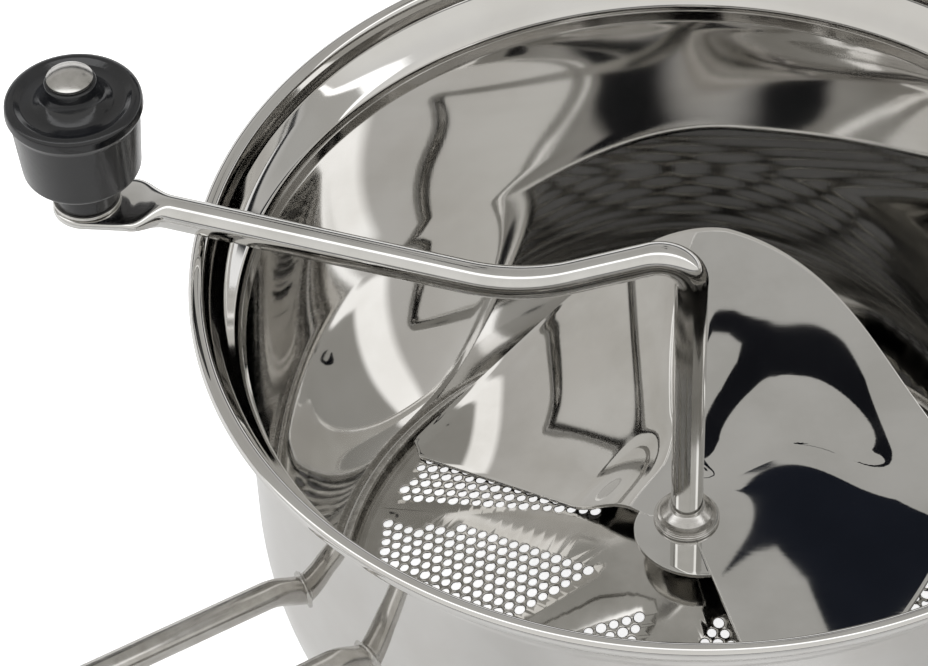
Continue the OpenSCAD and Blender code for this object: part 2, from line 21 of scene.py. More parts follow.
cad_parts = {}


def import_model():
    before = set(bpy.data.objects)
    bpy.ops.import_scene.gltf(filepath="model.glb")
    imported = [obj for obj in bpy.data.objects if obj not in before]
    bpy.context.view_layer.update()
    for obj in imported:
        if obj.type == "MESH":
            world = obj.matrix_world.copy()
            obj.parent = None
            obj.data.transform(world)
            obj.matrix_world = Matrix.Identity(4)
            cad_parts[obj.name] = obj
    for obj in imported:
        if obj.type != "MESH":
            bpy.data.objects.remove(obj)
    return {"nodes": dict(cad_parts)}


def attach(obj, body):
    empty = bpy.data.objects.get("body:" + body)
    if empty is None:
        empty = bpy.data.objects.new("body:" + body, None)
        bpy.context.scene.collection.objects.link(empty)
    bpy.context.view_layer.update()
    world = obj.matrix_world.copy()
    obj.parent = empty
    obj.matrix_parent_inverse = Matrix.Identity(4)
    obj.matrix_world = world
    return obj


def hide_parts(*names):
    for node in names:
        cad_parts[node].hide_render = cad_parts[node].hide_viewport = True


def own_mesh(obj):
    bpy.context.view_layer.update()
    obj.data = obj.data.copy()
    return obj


logging.basicConfig(level=logging.INFO, format="%(name)s: %(message)s")
LOG = logging.getLogger("food_mill")

MM = 0.001
Array = np.ndarray
WHITE = (1.0, 1.0, 1.0, 1.0)
DOUBLED = 1e-7  # metres: points closer than this are one point
STRAIGHT = 1e-4  # radians: a line that turns less than this has no corner
ARC_STEP = 12.0  # degrees between the points of a rounded corner in a profile


class Body(Enum):
    """The bodies of the frame that pieces ride on."""

    PAN = "pan_body"
    LIFT = "lift_body"
    CRANK = "crank_body"
    KNOB = "knob_body"


class Slot(Enum):
    """The record's material slots."""

    PAN = "pan_steel"
    PADDLE = "paddle_steel"
    ROD = "rod_steel"
    WIRE = "wire_steel"
    WELD = "weld_steel"
    FITTING = "fitting_steel"
    SPRING = "spring_steel"
    KNOB = "knob_black"


# ---------------------------------------------------------------- node helpers


def linear(code: str) -> Tuple[float, float, float, float]:
    """Turn an sRGB hex colour into linear RGBA.

    Args:
        code: A colour such as "#c9c7c2".

    Returns:
        The linear red, green and blue, and an alpha of 1.
    """
    raw = [int(code.lstrip("#")[i : i + 2], 16) / 255 for i in (0, 2, 4)]
    rgb = [c / 12.92 if c <= 0.04045 else ((c + 0.055) / 1.055) ** 2.4 for c in raw]
    return (rgb[0], rgb[1], rgb[2], 1.0)


def add(tree: bpy.types.NodeTree, kind: str, links: Optional[Dict[Any, Any]] = None, **settings: Any) -> Any:
    """Add a node, set it up and link it.

    Args:
        tree: The node tree.
        kind: The node's type name, such as "ShaderNodeMath".
        links: Input name or index to an output socket, or to a plain value.
        settings: Properties of the node itself.

    Returns:
        The new node.
    """
    node = tree.nodes.new(kind)
    for key, value in settings.items():
        setattr(node, key, value)
    for key, value in (links or {}).items():
        if isinstance(value, bpy.types.NodeSocket):
            tree.links.new(value, node.inputs[key])
        else:
            node.inputs[key].default_value = value
    return node


def ramp(tree: bpy.types.NodeTree, source: Any, stops: Sequence[Tuple[float, str]], ease: bool = True) -> Any:
    """Add a colour ramp over a value.

    Args:
        tree: The node tree.
        source: The value's output socket.
        stops: Pairs of position and sRGB hex colour.
        ease: Whether the colours blend smoothly rather than in straight lines.

    Returns:
        The ramp's colour output.
    """
    node = add(tree, "ShaderNodeValToRGB", {0: source})
    band = node.color_ramp
    band.interpolation = "EASE" if ease else "LINEAR"
    while len(band.elements) > 1:
        band.elements.remove(band.elements[-1])
    for i, (place, code) in enumerate(stops):
        stop = band.elements[0] if i == 0 else band.elements.new(place)
        stop.position = place
        stop.color = linear(code)
    return node.outputs[0]


def blank_material(name: str) -> Tuple[bpy.types.Material, bpy.types.NodeTree]:
    """Make a material whose node tree is empty.

    Args:
        name: The material's name.

    Returns:
        The material and its node tree.
    """
    mat = bpy.data.materials.new(name)
    mat.use_nodes = True
    mat.node_tree.nodes.clear()
    return mat, mat.node_tree


# ---------------------------------------------------------------- mesh helpers


def grid_faces(rows: int, cols: int, wrap_u: bool = False, wrap_v: bool = False,
               caps: bool = False) -> List[List[int]]:
    """Number the faces of a grid of points: each cell is one four-sided face.

    Args:
        rows: Rows of points.
        cols: Points in a row.
        wrap_u: Whether the last row joins the first.
        wrap_v: Whether each row's last point joins its first.
        caps: Whether one flat face closes the first row and one the last.

    Returns:
        Point numbers of each face.
    """
    index = np.arange(rows * cols).reshape(rows, cols)
    a = index if wrap_u else index[:-1]
    b = np.roll(index, -1, 0) if wrap_u else index[1:]
    if not wrap_v:
        quads = np.stack([a[:, :-1], a[:, 1:], b[:, 1:], b[:, :-1]], -1)
    else:
        quads = np.stack([a, np.roll(a, -1, 1), np.roll(b, -1, 1), b], -1)
    faces = quads.reshape(-1, 4).tolist()
    if caps:
        faces += [index[0][::-1].tolist(), index[-1].tolist()]
    return faces


def grid_mesh(name: str, points: Array, wrap_u: bool = False, wrap_v: bool = False,
              caps: bool = False) -> bpy.types.Object:
    """Make an object from a grid of points.

    Args:
        name: The object's name.
        points: Array of shape (rows, columns, 3), in millimetres.
        wrap_u: Whether the last row joins the first.
        wrap_v: Whether each row's last point joins its first.
        caps: Whether one flat face closes the first row and one the last.

    Returns:
        The linked object, smooth shaded.
    """
    return mesh_object(name, points.reshape(-1, 3), grid_faces(*points.shape[:2], wrap_u, wrap_v, caps))


def tube(name: str, rings: Array) -> bpy.types.Object:
    """Close a row of rings into a solid tube.

    Args:
        name: The object's name.
        rings: Array of shape (rings, points in a ring, 3), in millimetres.

    Returns:
        The closed tube, with its faces outwards.
    """
    return outward(grid_mesh(name, rings, wrap_v=True, caps=True))


def mesh_object(name: str, points: Array, faces: Sequence[Sequence[int]]) -> bpy.types.Object:
    """Put points in millimetres and their faces into a new, smooth, linked object.

    Args:
        name: The object's name.
        points: Array of shape (n, 3), in millimetres.
        faces: Point numbers of each face.

    Returns:
        The object, at the origin.
    """
    mesh = bpy.data.meshes.new(name)
    mesh.from_pydata((points * MM).tolist(), [], faces)
    mesh.validate()
    mesh.polygons.foreach_set("use_smooth", np.ones(len(mesh.polygons), bool))
    mesh.update()
    obj = bpy.data.objects.new(name, mesh)
    bpy.context.scene.collection.objects.link(obj)
    return obj


def rounded_line(points: Sequence[Sequence[float]], radii: Sequence[float], step: float = 4.0) -> Array:
    """Round off the corners of a line of points with arcs.

    At each inner point the line leaves its leg at radius * tan(turn / 2) before the corner and
    follows an arc that is tangent to both legs.

    Args:
        points: The corners, in millimetres.
        radii: The bend radius at each point; the first and last are not used.
        step: Degrees between the points of an arc.

    Returns:
        Array of points along the rounded line.
    """
    p = np.asarray(points, float)
    out: List[Array] = [p[:1]]
    for i in range(1, len(p) - 1):
        u = (p[i] - p[i - 1]) / np.linalg.norm(p[i] - p[i - 1])
        v = (p[i + 1] - p[i]) / np.linalg.norm(p[i + 1] - p[i])
        turn = math.acos(float(np.clip(u @ v, -1, 1)))
        if turn < STRAIGHT:
            out.append(p[i : i + 1])
            continue
        start = p[i] - u * radii[i] * math.tan(turn / 2)
        inward = (v - u * (u @ v)) / math.sin(turn)
        t = np.linspace(0, turn, max(2, int(math.degrees(turn) / step) + 1))[:, None]
        out.append(start + radii[i] * (np.sin(t) * u + (1 - np.cos(t)) * inward))
    out.append(p[-1:])
    return np.vstack(out)


def even_line(line: Array, gap: float) -> Array:
    """Lay points evenly along a line.

    Args:
        line: Points along the line.
        gap: Greatest distance between the new points, in millimetres.

    Returns:
        The new points, both ends kept.
    """
    run = np.concatenate([[0], np.cumsum(np.linalg.norm(np.diff(line, axis=0), axis=1))])
    count = max(2, int(run[-1] / gap) + 1)
    at = np.linspace(0, run[-1], count)
    return np.stack([np.interp(at, run, line[:, k]) for k in range(3)], 1)


def tangents(line: Array) -> Array:
    """Unit directions along a line.

    Args:
        line: Points along the line.

    Returns:
        One direction for each point.
    """
    along = np.gradient(line, axis=0)
    return along / np.linalg.norm(along, axis=1, keepdims=True)


def wire(name: str, line: Array, radius: float, up: Sequence[float], sides: int) -> bpy.types.Object:
    """Carry a round section along a line.

    Each point of the line carries the frame (side, rise), where side is the line's direction crossed
    with up, and rise is side crossed with the direction. The section is the circle
    radius * (side * cos a + rise * sin a) over one turn of a, and both ends are closed.

    Args:
        name: The object's name.
        line: Points along the middle, in millimetres.
        radius: The wire's radius, in millimetres.
        up: A direction that the line never follows.
        sides: Points round the section.

    Returns:
        The closed wire.
    """
    along = tangents(line)
    side = np.cross(along, np.asarray(up, float))
    side /= np.linalg.norm(side, axis=1, keepdims=True)
    rise = np.cross(side, along)
    a = np.linspace(0, 2 * np.pi, sides, endpoint=False)[None, :, None]
    return tube(name, line[:, None] + radius * (side[:, None] * np.cos(a) + rise[:, None] * np.sin(a)))


def lathe(name: str, profile: Array, centre: Sequence[float] = (0, 0), turns: int = 128,
          closed: bool = True) -> bpy.types.Object:
    """Turn a profile round a vertical axis: the point (r, z) at angle a goes to (r cos a, r sin a, z).

    Args:
        name: The object's name.
        profile: Array of (radius, height) pairs, in millimetres.
        centre: The axis's place in plan.
        turns: Steps round the axis.
        closed: Whether the profile's last point joins its first.

    Returns:
        The turned object.
    """
    a = np.linspace(0, 2 * np.pi, turns, endpoint=False)[None, :]
    r, z = profile[:, 0][:, None], profile[:, 1][:, None]
    points = np.stack([centre[0] + r * np.cos(a), centre[1] + r * np.sin(a), z + 0 * a], -1)
    return outward(grid_mesh(name, points, wrap_u=closed, wrap_v=True))


def soft_profile(corners: Sequence[Tuple[float, float, float]], closed: bool = True,
                 step: float = ARC_STEP) -> Array:
    """Round the corners of a flat profile.

    Args:
        corners: The radius, the height and the rounding of each corner, in millimetres.
        closed: Whether the profile is a loop.
        step: Degrees between the points of a rounded corner.

    Returns:
        Array of (radius, height) pairs.
    """
    loop = [corners[-1], *corners, corners[0]] if closed else list(corners)
    line = rounded_line([(r, 0.0, z) for r, z, _ in loop], [bend for _, _, bend in loop], step)[:, [0, 2]]
    return line[1:-1] if closed else line


def outward(obj: bpy.types.Object) -> bpy.types.Object:
    """Merge doubled points and turn every face of a closed mesh outwards.

    Args:
        obj: The object.

    Returns:
        The same object.
    """
    work = bmesh.new()
    work.from_mesh(obj.data)
    bmesh.ops.remove_doubles(work, verts=work.verts, dist=DOUBLED)
    bmesh.ops.recalc_face_normals(work, faces=work.faces)
    work.to_mesh(obj.data)
    work.free()
    obj.data.update()
    return obj


def crease(obj: bpy.types.Object, degrees: float = 35.0) -> bpy.types.Object:
    """Shade smoothly except across edges sharper than an angle.

    Args:
        obj: The object.
        degrees: The angle.

    Returns:
        The same object.
    """
    obj.data.set_sharp_from_angle(angle=math.radians(degrees))
    return obj


def turned(points: Any, degrees: float) -> Array:
    """Turn points about the crank axis.

    Args:
        points: Points in millimetres, each x, y and z.
        degrees: The turn, anticlockwise from above.

    Returns:
        The turned points.
    """
    a = math.radians(degrees)
    x, y, z = np.moveaxis(np.asarray(points, float), -1, 0)
    return np.stack([x * math.cos(a) - y * math.sin(a), x * math.sin(a) + y * math.cos(a), z], -1)


def ease(t: Any) -> Any:
    """A soft step: 0 below 0, 1 above 1, and half a cosine wave between.

    Args:
        t: Where to take the step, as a number or an array.

    Returns:
        The step's height there.
    """
    return (1 - np.cos(np.pi * np.clip(t, 0, 1))) / 2


# ---------------------------------------------------------------- finishes


@dataclass(frozen=True)
class Steel:
    """A bare stainless finish, AISI 304, described by how it was worked.

    Polishing leaves faint haze in patches: a cloud noise sets the tint and the roughness. Drawing,
    brushing or turning leaves lines in one direction: a stretched noise, which the bump and the
    roughness both follow. Pressing leaves shallow dents: a wide, weak bump. Lengths are in millimetres.
    """

    name: str
    colour: str
    shade: str
    roughness: float
    haze: float = 0.03
    haze_mm: float = 30.0
    line_depth: float = 0.0
    line_mm: Tuple[float, float, float] = (1.0, 1.0, 1.0)
    line_rough: float = 0.0
    dent_depth: float = 0.0
    dent_mm: float = 40.0

    def build(self) -> bpy.types.Material:
        """Build the material.

        Returns:
            The node material.
        """
        mat, tree = blank_material(self.name)
        place = add(tree, "ShaderNodeTexCoord").outputs["Object"]
        cloud = add(tree, "ShaderNodeTexNoise", {"Vector": place, "Scale": 1 / (self.haze_mm * MM),
                                                 "Detail": 4.0, "Roughness": 0.55}).outputs["Fac"]
        stretch = add(tree, "ShaderNodeMapping", {"Vector": place,
                                                  "Scale": tuple(1 / (s * MM) for s in self.line_mm)})
        lines = add(tree, "ShaderNodeTexNoise", {"Vector": stretch.outputs[0], "Scale": 1.0, "Detail": 3.0,
                                                 "Roughness": 0.6}).outputs["Fac"]
        spread = add(tree, "ShaderNodeMapRange", {
            "Value": cloud, "From Min": 0.35, "From Max": 0.7,
            "To Min": self.roughness, "To Max": self.roughness + self.haze})
        rough = add(tree, "ShaderNodeMath", {0: lines, 1: self.line_rough, 2: spread.outputs[0]},
                    operation="MULTIPLY_ADD")
        tint = ramp(tree, cloud, [(0.3, self.shade), (0.65, self.colour)])
        height = add(tree, "ShaderNodeBump", {"Height": lines, "Strength": 1.0,
                                              "Distance": self.line_depth * MM})
        wave = add(tree, "ShaderNodeTexNoise", {"Vector": place, "Scale": 1 / (self.dent_mm * MM),
                                                "Detail": 1.0})
        dent = add(tree, "ShaderNodeBump", {"Height": wave.outputs["Fac"], "Strength": 1.0,
                                            "Distance": self.dent_depth * MM, "Normal": height.outputs[0]})
        shader = add(tree, "ShaderNodeBsdfPrincipled", {
            "Base Color": tint, "Metallic": 1.0, "Roughness": rough.outputs[0], "Normal": dent.outputs[0]})
        add(tree, "ShaderNodeOutputMaterial", {"Surface": shader.outputs[0]})
        return mat


@dataclass(frozen=True)
class Phenolic:
    """Black phenolic moulding, tumbled to a satin gloss.

    A cloud noise gives the faint rub marks, in tint and roughness, and a fine one the pits in the bump.
    """

    name: str
    colour: str
    worn: str
    roughness: float
    rubbed: float = 0.04
    dulled: float = 0.08
    rub_scale: float = 120.0
    pit_scale: float = 1400.0
    pit_depth: float = 0.02

    def build(self) -> bpy.types.Material:
        """Build the material.

        Returns:
            The node material.
        """
        mat, tree = blank_material(self.name)
        place = add(tree, "ShaderNodeTexCoord").outputs["Object"]
        cloud = add(tree, "ShaderNodeTexNoise", {"Vector": place, "Scale": self.rub_scale,
                                                 "Detail": 5.0}).outputs["Fac"]
        pits = add(tree, "ShaderNodeTexNoise", {"Vector": place, "Scale": self.pit_scale,
                                                "Detail": 2.0}).outputs["Fac"]
        rough = add(tree, "ShaderNodeMapRange", {
            "Value": cloud, "From Min": 0.3, "From Max": 0.7,
            "To Min": self.roughness - self.rubbed, "To Max": self.roughness + self.dulled})
        bump = add(tree, "ShaderNodeBump", {"Height": pits, "Strength": 1.0, "Distance": self.pit_depth * MM})
        shader = add(tree, "ShaderNodeBsdfPrincipled", {
            "Base Color": ramp(tree, cloud, [(0.35, self.colour), (0.8, self.worn)]),
            "Roughness": rough.outputs[0], "Normal": bump.outputs[0], "IOR": 1.6})
        add(tree, "ShaderNodeOutputMaterial", {"Surface": shader.outputs[0]})
        return mat


SPUN = Steel("polished_spun_stainless", "#dbdad8", "#d2d0cd", 0.03, haze=0.02, haze_mm=35, line_depth=0.001,
             line_mm=(0.5, 0.5, 14), line_rough=0.02, dent_depth=0.12, dent_mm=45)
PRESSED = Steel("mirror_polished_pressed_stainless", "#d9d8d6", "#cecdca", 0.012, haze=0.015, haze_mm=22,
                line_depth=0.0005, line_mm=(16, 0.5, 16), line_rough=0.015, dent_depth=0.03, dent_mm=38)
PUNCHED = Steel("polished_punched_stainless", "#c2c0bc", "#aeaca7", 0.08, haze=0.05, haze_mm=18)
ROD = Steel("polished_drawn_stainless_rod", "#dbdad8", "#d0cfcc", 0.06, haze=0.03, haze_mm=12,
            line_depth=0.001, line_mm=(20, 0.35, 0.35), line_rough=0.03)
WIRE = Steel("satin_stainless_wire", "#c6c4c0", "#b4b1ac", 0.13, haze=0.08, haze_mm=7, line_depth=0.004,
             line_mm=(0.5, 0.5, 0.5), line_rough=0.1)
WELD = Steel("cleaned_weld_bead", "#c0beba", "#a5a29d", 0.16, haze=0.1, haze_mm=2.5, line_depth=0.02,
             line_mm=(1.1, 1.1, 1.1), line_rough=0.1)
TURNED = Steel("turned_stainless", "#d0cecb", "#bcbab6", 0.12, haze=0.06, haze_mm=6, line_depth=0.01,
               line_mm=(8, 8, 0.25), line_rough=0.12)
COILED = Steel("drawn_spring_wire", "#9b9c9e", "#7c7d80", 0.26, haze=0.08, haze_mm=3, line_depth=0.006,
               line_mm=(0.3, 0.3, 0.3), line_rough=0.1)
KNOB = Phenolic("moulded_black_phenolic", "#101114", "#1a1b1f", 0.16)


@lru_cache(maxsize=None)
def material_of(finish: Union[Steel, Phenolic]) -> bpy.types.Material:
    """Build a finish's material once, for all the pieces that have it.

    Args:
        finish: The finish.

    Returns:
        Its material.
    """
    return finish.build()


def dress(obj: bpy.types.Object, body: Body, slot: Slot, finish: Union[Steel, Phenolic],
          *nodes: str) -> bpy.types.Object:
    """Give a finished piece its material and its body, and hide the solids that it stands for.

    Args:
        obj: The piece.
        body: The body that it moves with.
        slot: The record's material slot that it belongs to; not used.
        finish: The finish.
        nodes: The solids that it replaces.

    Returns:
        The same piece.
    """
    obj.data.materials.clear()
    obj.data.materials.append(material_of(finish))
    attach(obj, body.value)
    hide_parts(*nodes)
    LOG.info("%s: %d faces on %s", obj.name, len(obj.data.polygons), body.value)
    return obj


# ---------------------------------------------------------------- sub-assemblies


@dataclass
class Pan:
    """The pan: a spun wall with a flared collar, a rolled rim and an in-turned flange. Millimetres."""

    wall_r: float = 94.9
    sheet: float = 0.8
    rim_r: float = 105.0
    rim_z: float = 57.0
    bead_r: float = 1.7
    collar_h: float = 15.2
    curve_z: float = 5.0
    curve_r: float = 72.0
    foot_z: float = 47.5
    flange_w: float = 8.0
    heel_bend: float = 0.8
    curl_from: int = -100
    # The flare's bends: distance inside the rim's inner face, depth as a share of the collar, bend radius.
    flare: Tuple[Tuple[float, float, float], ...] = ((-0.35, 0.1, 1.2), (0.3, 0.26, 6), (2.6, 0.52, 14),
                                                     (6.4, 0.78, 5))
    # The bends below it: distance outside the wall's middle, depth and bend radius as above.
    neck: Tuple[Tuple[float, float, float], ...] = ((0.7, 0.87, 1.2), (0.0, 1.02, 2.2))
    least_step: float = 0.02
    turns: int = 360

    @property
    def mid_r(self) -> float:
        """Radius of the middle of the wall's sheet."""
        return self.wall_r - self.sheet / 2

    @property
    def heel_r(self) -> float:
        """Radius at which the wall's curve meets the foot."""
        s = (self.foot_z - self.sheet / 2 - self.curve_z) / self.curve_r
        return self.mid_r - self.curve_r * (1 - math.sqrt(1 - s * s))

    @property
    def flange_in(self) -> float:
        """Radius of the foot flange's inner edge."""
        return self.heel_r - self.flange_w

    def middle_line(self) -> Array:
        """The sheet's middle line from the curl's free end to the flange's edge.

        The curl is an arc of 280 degrees, the flare a smooth line of arcs, the wall's lower part an
        arc of the curve's radius, and the heel a small bend.

        Returns:
            Array of (radius, height) pairs.
        """
        in_r = self.rim_r - 2 * self.bead_r
        curl_r = self.bead_r - self.sheet / 2
        a = np.radians(np.arange(self.curl_from, 181, 10))
        curl = np.stack([self.rim_r - self.bead_r + curl_r * np.cos(a), self.rim_z + curl_r * np.sin(a)], 1)
        h = self.collar_h
        bends = [(in_r - inset, self.rim_z - depth * h, bend) for inset, depth, bend in self.flare]
        bends += [(self.mid_r + more, self.rim_z - depth * h, bend) for more, depth, bend in self.neck]
        neck = soft_profile([(*curl[-1], 0), *bends, (self.mid_r, -self.curve_z, 0)], closed=False, step=3)
        straight = np.stack([np.full(14, self.mid_r), np.linspace(neck[-2, 1], -self.curve_z, 14)], 1)
        foot_mid = self.foot_z - self.sheet / 2
        b = np.linspace(0, math.asin((foot_mid - self.curve_z) / self.curve_r), 60)
        wall = np.stack([self.mid_r - self.curve_r * (1 - np.cos(b)),
                         -self.curve_z - self.curve_r * np.sin(b)], 1)
        heel = soft_profile([(*wall[-2], 0), (*wall[-1], self.heel_bend), (self.flange_in, -foot_mid, 0)],
                            closed=False, step=8)
        return np.vstack([curl, neck[1:-1], straight[1:-1], wall[:-2], heel])

    def build(self) -> bpy.types.Object:
        """Turn the sheet's two faces, half a thickness either side of its middle line, and dress them.

        Returns:
            The pan.
        """
        line = self.middle_line()
        line = line[np.append(True, np.linalg.norm(np.diff(line, axis=0), axis=1) > self.least_step)]
        along = tangents(line)
        across = np.stack([-along[:, 1], along[:, 0]], 1) * self.sheet / 2
        profile = np.vstack([line + across, (line - across)[::-1]])
        pan = lathe("pan_sheet", profile, turns=self.turns)
        return dress(crease(pan), Body.PAN, Slot.PAN, SPUN, "pan")


@dataclass
class Strainer:
    """The strainer: a low cone of thin sheet with sectors of round holes, seated on the pan's flange."""

    pan: Pan
    sheet: float = 0.8
    border_w: float = 4.7
    slope: float = 0.239
    sectors: int = 8
    first_az: float = 7.0
    hole_r: float = 1.02
    wide_r: float = 1.2
    pitch: float = 2.9
    holes_from: float = 22.6
    holes_to: float = 71.3
    strip_w: float = 4.1
    hole_sides: int = 12
    draw_in: float = 0.2
    draw_w: float = 0.24
    bore_r: float = 6.5
    edge_over: float = 0.3
    fold_w: float = 0.5
    fold_soft: float = 0.6
    boss_rings: Tuple[float, ...] = (10.5, 14.0, 17.5)
    side_clear: float = 1.2
    hole_share: float = 0.93
    lattice: int = 40
    merge: float = 2e-6

    @property
    def edge_r(self) -> float:
        """Outside radius of the sheet."""
        return self.pan.flange_in + self.border_w + self.edge_over

    @property
    def cone_r(self) -> float:
        """Radius at which the cone meets the flat border."""
        return self.edge_r - self.border_w

    @property
    def top_z(self) -> float:
        """Height of the border's upper face."""
        return -self.pan.foot_z + self.pan.sheet + self.sheet

    @property
    def peak_z(self) -> float:
        """Height that the cone would reach on the axis."""
        return self.top_z + self.slope * self.cone_r

    def height(self, r: Array) -> Array:
        """Height of the upper face: a straight slope that eases into the flat border.

        The slope runs over (d + sqrt(d^2 + fold_soft)) / 2, d being the distance inside the border.

        Args:
            r: Radii in millimetres.

        Returns:
            Heights in millimetres.
        """
        d = self.cone_r - r
        soft = 0.5 * (d + np.sqrt(d * d + self.fold_soft))
        return self.top_z + self.slope * soft

    def hole_centres(self) -> Tuple[Array, Array]:
        """Centres and radii of one sector's holes, in plan, about the +X axis.

        The holes are start + i * e1 + j * e2. The step e1 runs along the sector's border and e2 leaves
        it at 60 degrees, so that the rows are staggered. Each hole whose i - j divides by 3 is wider.

        Returns:
            Array of plan points, and array of radii.
        """
        half = math.pi / self.sectors
        start = np.array([self.holes_from, self.holes_from * math.tan(half) - self.strip_w / math.cos(half)])
        i, j = (k.ravel() for k in np.indices((self.lattice, self.lattice)))
        e1 = self.pitch * np.array([math.cos(half), math.sin(half)])
        e2 = self.pitch * np.array([math.cos(half - math.pi / 3), math.sin(half - math.pi / 3)])
        at = start + i[:, None] * e1 + j[:, None] * e2
        inside = at[:, 1] > self.strip_w / math.cos(half) - at[:, 0] * math.tan(half)
        inside &= np.linalg.norm(at, axis=1) < self.holes_to
        radii = np.where((i - j) % 3 == 0, self.wide_r, self.hole_r)
        return at[inside], radii[inside]

    def sector(self) -> Tuple[Array, List[List[int]]]:
        """One sector as a flat net of triangles with its holes left out.

        The net joins the holes' rims, a ring round each, the sector's sides and some arcs. A triangle whose
        middle lies inside a hole, past the sector's side or inside the bore is dropped.

        Returns:
            The plan points with each one's dip at a hole's rim, and the faces.
        """
        centres, sizes = self.hole_centres()
        k = self.hole_sides
        a = np.linspace(0, 2 * np.pi, k, endpoint=False)
        turn = np.stack([np.cos(a), np.sin(a)], 1)[None]
        rings = [(centres[:, None] + (sizes + more)[:, None, None] * turn).reshape(-1, 2)
                 for more in (0.0, self.draw_w)]
        half = math.pi / self.sectors
        fold = self.cone_r + self.fold_w * np.array([-1, 0, 1])
        slope = np.linspace(self.bore_r, self.cone_r - self.side_clear, 24)
        radii = np.concatenate([slope, fold, [self.edge_r]])
        side = np.stack([radii * math.cos(half), radii * math.sin(half)], 1)
        arcs = np.linspace(-half, half, 25)[1:-1]
        lines = [np.stack([r * np.cos(arcs), r * np.sin(arcs)], 1)
                 for r in (self.bore_r, *self.boss_rings, *fold, self.edge_r)]
        flat = np.vstack(rings + [side, side * [1, -1]] + lines)
        edges = [[int(s + j), int(s + (j + 1) % k)] for s in range(0, len(rings[0]), k) for j in range(k)]
        found = delaunay_2d_cdt([Vector(q) for q in flat], edges, [], 0, 1e-5)
        net = np.array([[v.x, v.y] for v in found[0]])
        tris = np.array([f for f in found[2] if len(f) == 3])
        middle = net[tris].mean(1)
        gap = np.linalg.norm(middle[:, None] - centres[None], axis=2)
        angle = np.abs(np.arctan2(middle[:, 1], middle[:, 0]))
        keep = ((gap - sizes * self.hole_share).min(1) > 0) & (angle < half + 1e-4)
        keep &= np.linalg.norm(middle, axis=1) > self.bore_r * 0.99
        past = (np.linalg.norm(net[:, None] - centres[None], axis=2) - sizes).min(1)
        dip = np.interp(past, [0, self.draw_w * 0.9], [self.draw_in, 0])
        return np.column_stack([net, dip]), tris[keep].tolist()

    def build(self) -> bpy.types.Object:
        """Turn the sector round the axis, lift it onto the cone and give it its thickness.

        Returns:
            The strainer.
        """
        net, faces = self.sector()
        a = np.radians(self.first_az + np.arange(self.sectors) * 360 / self.sectors)[:, None]
        x = net[:, 0] * np.cos(a) - net[:, 1] * np.sin(a)
        y = net[:, 0] * np.sin(a) + net[:, 1] * np.cos(a)
        z = self.height(np.hypot(x, y)) - net[:, 2]
        points = np.stack([x, y, z], -1).reshape(-1, 3)
        tris = np.array(faces)
        all_faces = (tris[None] + (np.arange(self.sectors) * len(net))[:, None, None]).reshape(-1, 3)
        sheet = mesh_object("strainer_sheet", points, all_faces.tolist())
        work = bmesh.new()
        work.from_mesh(sheet.data)
        bmesh.ops.remove_doubles(work, verts=work.verts, dist=self.merge)
        loose = [v for v in work.verts if not v.link_faces]
        bmesh.ops.delete(work, geom=loose, context="VERTS")
        for f in work.faces:
            if f.normal.z < 0:
                f.normal_flip()
        work.to_mesh(sheet.data)
        work.free()
        solid = sheet.modifiers.new("thickness", "SOLIDIFY")
        solid.thickness = self.sheet * MM
        solid.offset = -1
        crease(sheet, 50)
        return dress(sheet, Body.PAN, Slot.PAN, PUNCHED, "strainer")


